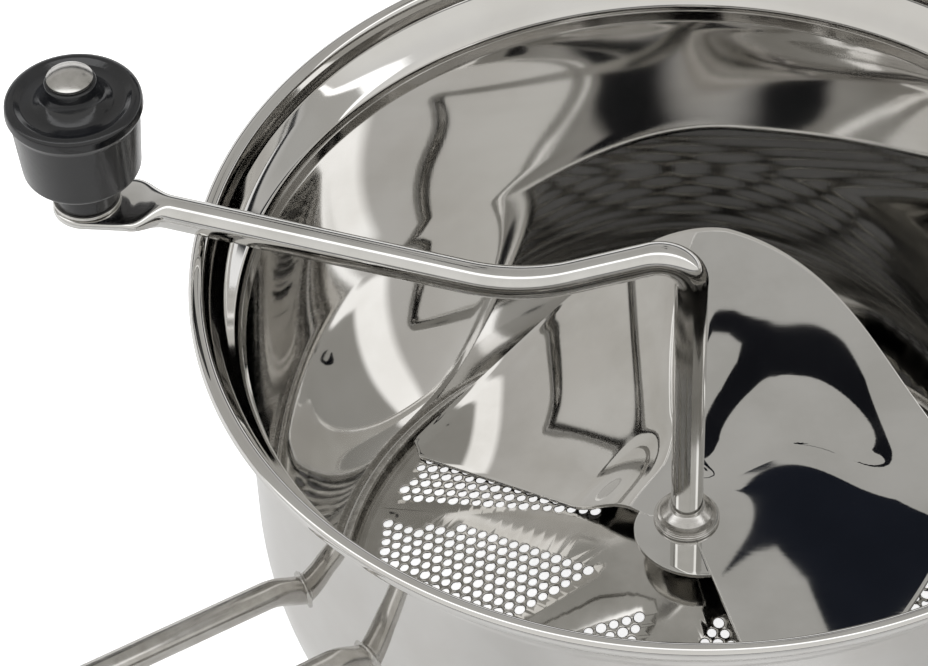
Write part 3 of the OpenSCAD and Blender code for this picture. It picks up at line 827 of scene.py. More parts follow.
@dataclass
class Paddle:
    """The pressing paddle: one sheet cut and bent so that its trailing edge wipes the strainer.

    Nominal directions, in degrees, run from the leading edge at lead_az by way of the toe, the wing and
    the peak to the trailing edge at trail_az. The fold's numbers give its bell curve in plan.
    """

    strainer: Strainer
    sheet: float = 1.0
    hub_lift: float = 4.7
    hub_r: float = 11.0
    hub_lobe: float = 7.0
    lobe_r: float = 76.5
    wing_r: float = 55.0
    wing_top_r: float = 62.0
    toe_w: float = 9.0
    toe_az: float = -30.0
    trail_az: float = 151.0
    trail_off: float = 4.4
    peak_az: float = 84.0
    lead_az: float = -71.0
    face_slope: float = 0.262
    wipe_gap: float = 0.35
    bore_r: float = 3.6
    hub_skin: float = 0.1
    corner_w: float = 60.0
    hollow_h: float = 3.5
    tip_cut: float = 4.0
    tip_w: float = 3.0
    fold_y: float = 7.5
    fold_bulge: float = 15.0
    fold_x: float = 25.0
    fold_w: float = 19.0
    fold_soft: float = 4.0
    fold_press: float = 0.2
    fold_far_y: float = 13.0
    fold_far_share: float = 0.1
    fold_fade: float = 7.0
    wipe_run: float = 18.0
    wind_power: float = 3.2
    wind_in: float = 2.5
    hub_in: float = 1.5
    hub_blend: float = 6.0
    edge_break: float = 0.22
    solve_steps: int = 30
    rings: int = 60
    spokes: int = 180
    hub_rings: int = 12
    hub_spokes: int = 70

    @property
    def crest(self) -> float:
        """Height of the hub's upper face."""
        return self.strainer.peak_z + self.hub_lift

    def edge_r(self, a: Array) -> Array:
        """Radius of the free edge, eased from part to part.

        Args:
            a: Nominal directions in degrees.

        Returns:
            Radii in millimetres.
        """
        wide = self.lobe_r - self.tip_cut * ease((a - self.trail_az + self.tip_w) / self.tip_w)
        t = (self.peak_az - a) / self.corner_w
        hollow = (self.lobe_r - (self.lobe_r - self.wing_top_r) * ease(t)
                  - self.hollow_h * np.sin(np.pi * np.clip(t, 0, 1)))
        span = self.peak_az - self.corner_w - self.toe_az
        wing = self.wing_r + (self.wing_top_r - self.wing_r) * ease((a - self.toe_az) / span)
        toe = self.wing_r + self.toe_w * ease((self.toe_az - a) / (self.toe_az - self.lead_az))
        return np.where(a > self.peak_az, wide, np.where(t < 1, hollow, np.where(a > self.toe_az, wing, toe)))

    def spread(self, r: Array, n: Array) -> Array:
        """True direction of a nominal direction at a radius.

        The trailing edge is a straight line that passes the axis at trail_off, so its direction is
        trail_dir + asin(trail_off / r), and the directions behind the peak are spread out to follow it.
        Inside the hub the direction stops turning at hub_r - wind_in.

        Args:
            r: Radii in millimetres.
            n: Nominal directions in degrees.

        Returns:
            True directions in degrees.
        """
        trail_dir = self.trail_az - math.degrees(math.asin(self.trail_off / self.lobe_r))
        off = np.arcsin(self.trail_off / np.maximum(r, self.hub_r - self.wind_in))
        behind = ease((n - self.peak_az) / (self.trail_az - self.peak_az))
        return n + (trail_dir + np.degrees(off) - self.trail_az) * behind

    def height(self, r: Array, n: Array) -> Array:
        """Height of the upper face at radius r and nominal direction n, in degrees.

        The face is flat about the hub. Behind the fold, which is a bell curve over x, it rises in proportion
        to the distance from the fold, and the bell fades out farther back so that the face flattens. The
        fold is rounded by the curve k log(1 + exp(d / k)). Past the peak the face winds down to the
        strainer, which it meets along the trailing edge.

        Args:
            r: Radii in millimetres.
            n: Nominal directions in degrees.

        Returns:
            Heights in millimetres.
        """
        s = self.strainer
        a = np.radians(self.spread(r, n))
        x, y = r * np.cos(a), r * np.sin(a)
        wiped = s.top_z + s.slope * np.maximum(s.cone_r - r, 0) + self.sheet + self.wipe_gap
        fold = self.fold_y + self.fold_bulge * np.exp(-(((x - self.fold_x) / self.fold_w) ** 2))
        fade = np.exp(-np.maximum(y - fold, 0) / self.fold_fade)
        share = self.fold_far_share + (1 - self.fold_far_share) * fade
        d = (y - self.fold_far_y - (fold - self.fold_far_y) * share) / self.fold_soft
        soft = np.log1p(np.exp(np.clip(d, -30, 30))) - np.log(2) * np.exp(-((d / 2) ** 2)) * self.fold_press
        free = self.face_slope * self.fold_soft * soft
        low = (np.minimum(wiped, self.crest) - self.crest) * ease((r - self.hub_r) / self.wipe_run)
        t = np.clip((n - self.peak_az) / (self.trail_az - 1 - self.peak_az), 0, 1)
        w = 1 - (1 - t**2) ** self.wind_power
        off_hub = ease((r - self.hub_r + self.hub_in) / self.hub_blend)
        return self.crest + ((1 - w) * free + w * low) * off_hub

    def face_at(self, plan: Array) -> Array:
        """Heights of the upper face over plan points.

        The nominal direction n solves spread(r, n) = a, by stepping n to n + a - spread(r, n).

        Args:
            plan: Array of (x, y) points in millimetres.

        Returns:
            Heights in millimetres.
        """
        r = np.maximum(np.linalg.norm(plan, axis=-1), self.bore_r)
        a = np.degrees(np.arctan2(plan[..., 1], plan[..., 0]))
        a = np.where(a < self.lead_az, a + 360, a)
        n = a
        for _ in range(self.solve_steps):
            n = n + a - self.spread(r, n)
        return self.height(r, n)

    def build(self) -> bpy.types.Object:
        """Lay the face as a polar grid, fill the hub's fan up to it, thicken the sheet and break its edges.

        Returns:
            The paddle.
        """
        u = np.linspace(0, 1, self.rings)[:, None]
        turn = np.linspace(self.lead_az, self.trail_az, self.spokes)[None, :]
        inner = self.bore_r
        r = inner + (self.edge_r(turn) - inner) * u
        n = np.broadcast_to(turn, r.shape)
        a = np.radians(self.spread(r, n))
        blade = grid_mesh("paddle_face", np.stack([r * np.cos(a), r * np.sin(a), self.height(r, n)], -1))
        share = np.linspace(0, 1, self.hub_spokes)[None, :]
        v = np.linspace(0, 1, self.hub_rings)[:, None]
        hr = inner + (self.hub_r - 0.4 + self.hub_lobe * share - inner) * v
        start = self.spread(hr, np.full(hr.shape, self.trail_az))
        ha = np.radians(start + (360 + self.lead_az - start) * share)
        hub_points = np.stack([hr * np.cos(ha), hr * np.sin(ha), np.full(hr.shape, self.crest)], -1)
        hub = grid_mesh("paddle_hub", hub_points)
        bpy.ops.object.select_all(action="DESELECT")
        blade.select_set(True)
        hub.select_set(True)
        bpy.context.view_layer.objects.active = blade
        bpy.ops.object.join()
        blade.name = "paddle_sheet"
        outward(blade)
        solid = blade.modifiers.new("thickness", "SOLIDIFY")
        solid.thickness = self.sheet * MM
        solid.offset = -1 if blade.data.polygons[len(blade.data.polygons) // 2].normal.z > 0 else 1
        edge = blade.modifiers.new("broken_edges", "BEVEL")
        edge.width = self.edge_break * MM
        edge.segments = 2
        edge.limit_method = "ANGLE"
        edge.angle_limit = math.radians(60)
        crease(blade, 40)
        return dress(blade, Body.CRANK, Slot.PADDLE, PRESSED, "paddle")


@dataclass
class Crank:
    """The crank: one rod, bent over the rim and flattened to a pad that carries the knob's stud."""

    paddle: Paddle
    rod_r: float = 3.6
    rim_z: float = 57.0
    rise: float = 3.9
    bend_r: float = 6.5
    dip_x: float = 36.0
    dip_h: float = 13.9
    arm_rise: float = 18.8
    throw_x: float = 126.5
    pad_rise: float = 0.8
    pad_r: float = 7.5
    pad_t: float = 3.0
    crank_az: float = 178.0
    thread_r: float = 3.0
    thread_pitch: float = 1.0
    thread_depth: float = 0.3
    shoulder: float = 8.654
    rod_end: float = 22.104
    neck_run: float = 14.0
    dip_bend: float = 38.0
    neck_bend: float = 7.0
    pad_bend: float = 4.0
    arm_gap: float = 0.6
    thread_gap: float = 0.12
    flatten_lead: float = 3.0
    square: float = 0.45
    sides: int = 48

    @property
    def pad_z(self) -> float:
        """Height of the pad's middle."""
        return self.rim_z + self.rise - self.dip_h + self.arm_rise + self.pad_rise

    def build(self) -> bpy.types.Object:
        """Carry the round section along the arm and flatten it into the pad.

        Past the last bend the half width grows to the pad's radius and follows the pad's round end,
        the square root of radius squared less distance squared, while the half height shrinks.

        Returns:
            The rod.
        """
        top = self.rim_z + self.rise
        shoulder_z = self.paddle.crest - self.shoulder
        neck_x = self.throw_x - self.neck_run
        end_x = self.throw_x - self.pad_r
        corners = [[0, 0, shoulder_z], [0, 0, top], [self.dip_x, 0, top - self.dip_h],
                   [neck_x, 0, top - self.dip_h + self.arm_rise], [end_x - 1.5, 0, self.pad_z],
                   [end_x + 1, 0, self.pad_z], [end_x + 2 * self.pad_r, 0, self.pad_z]]
        bends = [0, self.bend_r, self.dip_bend, self.neck_bend, self.pad_bend, 0, 0]
        upper = even_line(rounded_line(corners, bends, 3), self.arm_gap)
        low_z = np.arange(self.paddle.crest - self.rod_end, shoulder_z - 0.1, self.thread_gap)
        low_z = np.append(low_z, shoulder_z - 0.05)
        line = np.vstack([np.stack([0 * low_z, 0 * low_z, low_z], 1), upper])
        x = line[:, 0]
        flat = ease((x - neck_x + self.flatten_lead) / (end_x + 1 - neck_x))
        beyond = np.clip((x - self.throw_x) / self.pad_r, 0, 0.9999)
        wide = (self.rod_r + (self.pad_r - self.rod_r) * flat) * np.sqrt(1 - beyond**2)
        high = (self.rod_r + (self.pad_t / 2 - self.rod_r) * flat) * np.sqrt(1 - beyond**10)
        high = np.maximum(high, 0.05)
        thread = line[:, 2] < shoulder_z - 0.02
        wide[thread] = high[thread] = self.thread_r
        rod = self.swept(line, wide, high, thread)
        return dress(crease(rod, 50), Body.CRANK, Slot.ROD, ROD, "crank_rod")

    def swept(self, line: Array, wide: Array, high: Array, thread: Array) -> bpy.types.Object:
        """Carry a section along a line that stays in the arm's plane.

        The section is squarer where it is flat: its corners are cos a and sin a to the power
        1 - square * flatness. On the thread the radius falls by
        thread_depth * (1 + cos(2 pi z / pitch - a)) / 2.

        Args:
            line: Points in the arm's own plane.
            wide: Half width across the plane at each point.
            high: Half height in the plane at each point.
            thread: Whether each point is on the threaded end.

        Returns:
            The closed rod.
        """
        along = tangents(line)
        along[thread] = [0, 0, 1]
        rise = np.stack([-along[:, 2], 0 * along[:, 0], along[:, 0]], 1)
        a = np.linspace(0, 2 * np.pi, self.sides, endpoint=False)
        power = 1 - self.square * np.clip(1 - high / np.maximum(wide, 1e-6), 0, 1)[:, None]
        c = np.sign(np.cos(a)) * np.abs(np.cos(a)) ** power
        s = np.sign(np.sin(a)) * np.abs(np.sin(a)) ** power
        wave = np.cos(2 * np.pi * line[:, 2:3] / self.thread_pitch - a)
        cut = 1 - self.thread_depth / self.thread_r * (1 + wave) / 2 * thread[:, None]
        side = np.array([0.0, 1.0, 0.0])
        points = (line[:, None] + side * (wide[:, None] * c * cut)[..., None]
                  + rise[:, None] * (high[:, None] * s * cut)[..., None])
        return tube("crank_rod_body", turned(points, self.crank_az))


@dataclass
class Knob:
    """The knob: a tapered black moulding that turns on a domed stud."""

    crank: Crank
    height: float = 27.6
    shoulder_r: float = 14.3
    low_r: float = 12.4
    neck_r: float = 6.6
    neck_h: float = 8.0
    boss_r: float = 5.4
    boss_h: float = 5.7
    dish: float = 1.2
    stud_r: float = 2.6
    head_r: float = 4.8
    head_h: float = 1.4
    head_edge: float = 0.8
    washer_t: float = 0.8
    play: float = 0.05

    @property
    def centre(self) -> Tuple[float, float]:
        """The knob's axis in plan."""
        x, y, _ = turned([self.crank.throw_x, 0, 0], self.crank.crank_az)
        return float(x), float(y)

    @property
    def low_z(self) -> float:
        """Height of the knob's underside."""
        return self.crank.pad_z + self.crank.pad_t / 2 + self.washer_t + self.play

    def build(self) -> List[bpy.types.Object]:
        """Turn the knob, its stud and its two washers.

        Returns:
            The pieces.
        """
        z, rim, boss, bore = self.low_z, self.shoulder_r, self.boss_r, self.stud_r + self.play
        foot, top = z + self.neck_h, z + self.height
        dish = top - self.dish
        peak = dish + self.boss_h
        knob = lathe("knob_moulding", soft_profile([
            (bore, z, 0.1), (self.neck_r, z, 0.3), (self.neck_r, foot, 0.6),
            (self.low_r - 0.1, foot + 0.1, 1.7),
            (rim - 0.85, top - 4.3, 0.6), (rim - 0.4, top - 3.1, 0.3), (rim, top - 2.8, 0.4),
            (rim - 0.2, top - 0.6, 1.2), (rim - 1.8, top + 0.1, 1.0), (rim - 3.6, dish, 1.2),
            (boss + 3.0, dish, 1.4), (boss + 1.0, dish + 1.4, 2.2), (boss + 0.1, dish + 3.6, 1.5),
            (boss - 0.05, peak, 0.45), (bore, peak, 0.1)]), self.centre, 160)
        dress(crease(knob, 45), Body.KNOB, Slot.KNOB, KNOB, "knob")
        head = peak + self.play
        low = self.crank.pad_z - self.crank.pad_t / 2 - self.washer_t
        ball = (self.head_r**2 + self.head_h**2) / (2 * self.head_h)
        a = np.linspace(0, math.asin(min(self.head_r * 0.995 / ball, 1)), 24)[::-1]
        edge = head + self.head_edge
        dome = np.stack([ball * np.sin(a), edge + self.head_h - ball + ball * np.cos(a)], 1)
        stem = soft_profile([
            (0.001, low - 1, 0), (self.stud_r + 0.5, low - 1, 0.3), (self.stud_r + 1.1, low, 0.2),
            (self.stud_r, low, 0), (self.stud_r, head, 0), (self.head_r, head, 0.25), (self.head_r, edge, 0)],
            closed=False)
        stud = lathe("knob_stud_turned", np.vstack([stem, dome[1:]]), self.centre, 96, closed=False)
        dress(crease(stud, 50), Body.CRANK, Slot.ROD, TURNED, "knob_stud")
        above = Ring("knob_washer_pressed", self.neck_r + 0.6, self.stud_r,
                     self.crank.pad_z + self.crank.pad_t / 2, self.washer_t)
        below = Ring("stud_washer_pressed", self.stud_r + 2.2, self.stud_r, low, self.washer_t)
        return [knob, stud, above.build(Body.CRANK, Slot.ROD, "knob_washer", self.centre),
                below.build(Body.CRANK, Slot.ROD, "stud_washer", self.centre)]


@dataclass
class Ring:
    """A flat washer with softened edges."""

    name: str
    outer: float
    inner: float
    low_z: float
    thick: float
    soft: float = 0.2

    def build(self, body: Body, slot: Slot, node: str,
              centre: Tuple[float, float] = (0, 0)) -> bpy.types.Object:
        """Turn and dress the washer.

        Args:
            body: The body that it moves with.
            slot: Its material slot.
            node: The solid that it replaces.
            centre: Its axis in plan.

        Returns:
            The washer.
        """
        z, t = self.low_z, self.thick
        loop = soft_profile([(self.inner, z, 0.05), (self.outer, z, self.soft),
                             (self.outer, z + t, self.soft), (self.inner, z + t, 0.05)])
        return dress(crease(lathe(self.name, loop, centre, 96), 50), body, slot, TURNED, node)


@dataclass
class Handle:
    """The carrying handle: a hairpin of round wire, butt-welded to the pan's wall."""

    pan: Pan
    wire_r: float = 3.0
    gap: float = 23.2
    reach: float = 128.0
    legs_z: float = 9.5
    tilt: float = 8.0
    handle_az: float = 220.0
    foot_in: float = 0.4
    foot_down: float = 0.25
    elbow_out: float = 7.5
    elbow_up: float = 4.6
    elbow_bend: float = 9.0
    weld_h: float = 1.2
    weld_grip: float = 0.15
    weld_lift: float = 0.02
    weld_up: float = 0.3
    lump: float = 0.12
    lump_count: int = 5
    small_lump: float = 0.08
    small_lump_count: int = 11

    @property
    def leg_x(self) -> float:
        """Distance from the crank axis at which the legs meet the wall."""
        return math.sqrt(self.pan.wall_r**2 - self.gap**2 / 4)

    def middle_line(self) -> Array:
        """The wire's middle line: a leg, the half turn at the far end, and the other leg."""
        t = math.radians(self.tilt)
        g = self.gap / 2
        x, z = self.leg_x + self.elbow_out, self.legs_z + self.elbow_up
        axis = np.array([math.cos(t), 0, math.sin(t)])
        far = np.array([x, 0, z]) + (self.reach - self.elbow_out - g) * axis
        leg = rounded_line([[self.leg_x - self.foot_in, g, self.legs_z - self.foot_down], [x, g, z],
                            [far[0], g, far[2]]], [0, self.elbow_bend, 0], 3)
        a = np.linspace(0, np.pi, 61)[1:-1, None]
        loop = far + g * (np.sin(a) * axis + np.cos(a) * np.array([0, 1.0, 0]))
        return even_line(np.vstack([leg, loop, leg[::-1] * np.array([1, -1, 1])]), 1.0)

    def build(self) -> List[bpy.types.Object]:
        """Sweep the wire and lay a fillet of weld round each foot.

        Returns:
            The wire and its two welds.
        """
        loop = wire("handle_wire", turned(self.middle_line(), self.handle_az), self.wire_r, (0, 0, 1), 40)
        pieces = [dress(crease(loop, 50), Body.PAN, Slot.WIRE, WIRE, "handle_loop")]
        for side, node in ((1, "handle_weld_left"), (-1, "handle_weld_right")):
            pieces.append(self.weld(side, node))
        return pieces

    def weld(self, side: int, node: str) -> bpy.types.Object:
        """A lumpy fillet between the wall and the wire.

        The surface is the fillet's hollow profile, from the wall to the wire, carried round the wire's
        foot, and each ring's radius swells and shrinks a little as a hand-laid bead does.

        Args:
            side: 1 or -1 for the leg's side.
            node: The solid that it replaces.

        Returns:
            The weld.
        """
        turn = np.linspace(0, 2 * np.pi, 72, endpoint=False)[None, :]
        s = np.linspace(0, 1, 14)[:, None]
        lump = (self.lump * np.sin(self.lump_count * turn + side)
                + self.small_lump * np.sin(self.small_lump_count * turn))
        off = self.wire_r - self.weld_grip + self.weld_h * (1 - s) ** 3 * (1 + lump * (1 - s))
        out = self.weld_lift + (self.weld_h + 0.6) * s**1.6
        y = side * self.gap / 2 + off * np.cos(turn)
        z = self.legs_z + self.weld_up + off * np.sin(turn) * 1.05 + out * 0.6
        x = np.sqrt(np.maximum(self.pan.wall_r**2 - y**2, 0)) + out
        rings = np.stack([x, y, z], -1)
        back = rings[:1] - np.array([self.weld_lift, 0, 0])
        bead = tube(node + "_bead", turned(np.concatenate([back, rings]), self.handle_az))
        return dress(crease(bead, 60), Body.PAN, Slot.WELD, WELD, node)


@dataclass
class PotHook:
    """A pot hook: a hairpin of wire that runs down the wall, turns outwards and rests on a pot's rim."""

    pan: Pan
    name: str
    az: float
    wire_r: float = 2.0
    gap: float = 9.6
    reach: float = 30.0
    top_z: float = 27.0
    rest_z: float = 7.6
    bend: float = 5.0
    off_wall: float = 0.05
    up: Tuple[float, float, float] = (0.6, 0.0, 0.8)
    bead_r: float = 1.15
    bead_half: float = 3.4
    bead_drop: float = 5.5
    bead_beside: float = 0.8
    bead_out: float = 0.35
    ripple: float = 0.08
    ripples: float = 16.0

    def build(self) -> List[bpy.types.Object]:
        """Sweep the hook and lay its four short welds.

        Returns:
            The hook and its welds.
        """
        g = self.gap / 2
        x = math.sqrt((self.pan.wall_r + self.wire_r) ** 2 - g**2) + self.off_wall
        far = x + self.reach - g
        leg = rounded_line([[x, g, self.top_z], [x, g, self.rest_z], [far, g, self.rest_z]],
                           [0, self.bend, 0], 4)
        a = np.linspace(0, np.pi, 31)[1:-1, None]
        loop = np.array([far, 0, self.rest_z]) + g * np.concatenate([np.sin(a), np.cos(a), 0 * a], 1)
        line = even_line(np.vstack([leg, loop, leg[::-1] * np.array([1, -1, 1])]), 0.8)
        hook = wire(self.name + "_wire", turned(line, self.az), self.wire_r, turned(self.up, self.az), 28)
        dress(crease(hook, 50), Body.PAN, Slot.WIRE, WIRE, self.name)
        return [hook, self.welds()]

    def welds(self) -> bpy.types.Object:
        """Short beads either side of each leg, where it lies against the wall.

        Each bead is a tapered round rod whose half width is the square root of 1 - t^4 along it,
        t going from -1 to 1, with a ripple for each step of the welder's hand.

        Returns:
            The beads as one object.
        """
        t = np.linspace(-1, 1, 28)[:, None]
        a = np.linspace(0, 2 * np.pi, 16, endpoint=False)[None, :]
        r = self.bead_r * np.sqrt(np.maximum(1 - t**4, 1e-4)) * (1 + self.ripple * np.sin(self.ripples * t))
        one = grid_faces(28, 16, wrap_v=True, caps=True)
        points: List[Array] = []
        faces: List[List[int]] = []
        for side, beside in ((1, 1), (1, -1), (-1, 1), (-1, -1)):
            mid_y = side * self.gap / 2 + beside * self.wire_r * self.bead_beside
            y = mid_y + r * np.sin(a)
            x = math.sqrt(self.pan.wall_r**2 - mid_y**2) + self.bead_out + r * np.cos(a)
            x = np.maximum(x, np.sqrt(self.pan.wall_r**2 - y**2) + 0.01)
            z = self.top_z - self.bead_drop + self.bead_half * t + 0 * a
            faces += [[i + len(points) * x.size for i in face] for face in one]
            points.append(np.stack([x, y, z], -1).reshape(-1, 3))
        node = self.name.replace("pot_hook", "hook_welds")
        beads = outward(mesh_object(node + "_beads", turned(np.vstack(points), self.az), faces))
        return dress(crease(beads, 60), Body.PAN, Slot.WELD, WELD, node)


@dataclass
class Fittings:
    """The small turned and sprung pieces on the spindle."""

    paddle: Paddle
    run_gap: float = 0.05
    touch: float = 0.05
    bush_flange: float = 1.6
    collar_r: float = 7.4
    collar_top: float = 4.2
    washer_t: float = 1.0
    washer_r: float = 8.6
    thread_r: float = 3.0
    spring_h: float = 6.4
    wire_r: float = 0.6
    coil_r: float = 6.4
    turns: int = 3
    pressed: float = 0.8
    coil_gap: float = 0.1
    lip_w: float = 3.4

    def build(self) -> List[bpy.types.Object]:
        """Build the bushing, collar, washers, spring and seam.

        Returns:
            The pieces.
        """
        s = self.paddle.strainer
        bush = s.bore_r
        low = s.peak_z - s.sheet - s.slope * bush - self.bush_flange
        top = self.paddle.crest - self.paddle.sheet - self.paddle.hub_skin - self.touch
        seat = s.peak_z - s.slope * bush + self.touch
        bore, inner, out = self.paddle.bore_r + self.run_gap, bush - self.touch, bush + self.lip_w
        bushing = lathe("shaft_bushing_turned", soft_profile([
            (bore, low, 0.1), (inner, low, 0.1), (inner, seat, 0.05), (out, seat, 0.3),
            (out - 0.3, seat + 1, 0.3), (bush + 0.4, seat + 1.9, 0.4), (bush, seat + 2.6, 0.5),
            (bush, top - 0.5, 0.2), (bush - 0.5, top, 0.2), (bore, top, 0.1)]))
        dress(crease(bushing), Body.PAN, Slot.FITTING, TURNED, "shaft_bushing")
        crest = self.paddle.crest + self.paddle.hub_skin
        r, rod = self.collar_r, self.paddle.bore_r
        collar = lathe("paddle_collar_turned", soft_profile([
            (rod, crest, 0.05), (r, crest, 0.25), (r, crest + 0.9, 0.3), (r - 0.8, crest + 0.9, 0.15),
            (r - 0.7, crest + 1.8, 0.5), (r - 1.4, crest + 2.8, 0.5), (r - 2.4, crest + 3.5, 0.6),
            (rod + 0.5, crest + self.collar_top, 0.3), (rod, crest + self.collar_top, 0.05)]))
        dress(crease(collar), Body.CRANK, Slot.PADDLE, TURNED, "paddle_collar")
        cup = low - self.touch - self.washer_t
        washers = (
            (Ring("bushing_washer_pressed", out - 0.6, inner, low,
                  self.bush_flange - s.slope * self.lip_w - 0.25, 0.12), Body.PAN, "bushing_washer"),
            (Ring("cup_washer_pressed", self.washer_r, self.thread_r + 0.25, cup, self.washer_t),
             Body.PAN, "cup_washer"),
            (Ring("spring_washer_pressed", self.washer_r - 0.6, self.thread_r,
                  cup - self.spring_h - self.washer_t, self.washer_t), Body.LIFT, "spring_washer"))
        rings = [ring.build(body, Slot.FITTING, node) for ring, body, node in washers]
        return [bushing, collar, *rings, self.spring(cup), self.seam()]

    def spring(self, top: float) -> bpy.types.Object:
        """The spring: a round wire on a helix, built at one length; the real spring shortens as the paddle
        lifts.

        Args:
            top: Height of its upper end.

        Returns:
            The spring.
        """
        a = np.linspace(0, 2 * np.pi * self.turns, 60 * self.turns + 1)
        pitch = (self.spring_h - 2 * (self.wire_r + self.coil_gap)) / self.turns
        line = np.stack([self.coil_r * np.cos(a), self.coil_r * np.sin(a),
                         top - self.coil_gap - self.wire_r - pitch * a / (2 * np.pi)], 1)
        coil = wire("spring_coil", line, self.wire_r, (0, 0, 1), 14)
        dress(crease(coil, 60), Body.PAN, Slot.SPRING, COILED, "spring")
        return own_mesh(coil)

    def seam(self) -> bpy.types.Object:
        """The brazed seam: a soft bead in the corner between the strainer's edge and the wall.

        Returns:
            The seam.
        """
        s = self.paddle.strainer
        edge, top = s.edge_r, s.top_z
        w = s.pan.heel_r - s.pan.sheet / 2 - edge
        seat = -s.pan.foot_z + s.pan.sheet + 0.02
        loop = soft_profile([
            (edge + 0.05, seat, 0), (edge + 0.05, top + 0.1, 0.2), (edge + 0.2 * w, top + 0.8, 0.4),
            (edge + 0.6 * w, top + 0.95, 0.4), (edge + 0.84 * w, top, 0.3), (edge + 0.84 * w, seat, 0)])
        bead = lathe("strainer_seam_bead", loop, turns=240)
        return dress(crease(bead, 60), Body.PAN, Slot.WELD, WELD, "strainer_seam")


# ---------------------------------------------------------------- studio


@dataclass(frozen=True)
class Card:
    """A card hung in the room.

    Its outline is given on the paddle, in plan, where the camera is to see it mirrored. The facet is the
    plan point whose slope sets the mirror, and far is the card's distance from it.
    """

    name: str
    colour: str
    facet: Tuple[float, float]
    far: float
    outline: Tuple[Tuple[float, float], ...]


CARDS = (
    Card("navy_card", "#1c1f27", (30, -15), 700.0, (
        (8, 20), (14, 26), (24, 30), (36, 28), (56, 20), (68, 4), (56, -18), (46, -28), (33, -38), (27, -18),
        (20, -8), (15, -10), (8, -17), (14, -5), (18, 5), (17, 12))),
    Card("black_card", "#17181c", (29, 60), 300.0, (
        (-6, 54), (8, 55), (20, 55), (27, 52), (31, 46), (34, 37), (34, 28), (28, 25), (12, 26), (14, 30),
        (20, 35), (23, 41), (23, 46), (19, 49), (8, 50), (-6, 49))),
)


# Shade of the room over its turn from the horizon behind the mill, 0, overhead, 0.5, to the one before it, 1.
TENT = (
    (0.0, "#cdcdcd"), (0.07, "#c9c9c9"), (0.085, "#1b1c1e"), (0.13, "#1d1e20"), (0.15, "#9c9b99"),
    (0.26, "#8c8b88"), (0.53, "#92918e"), (0.545, "#ffffff"), (0.61, "#ffffff"), (0.63, "#b2b1af"),
    (0.8, "#b8b7b4"), (0.94, "#bab9b6"), (0.955, "#5c5c5c"), (0.985, "#5c5c5c"), (1.0, "#b4b4b4"),
)


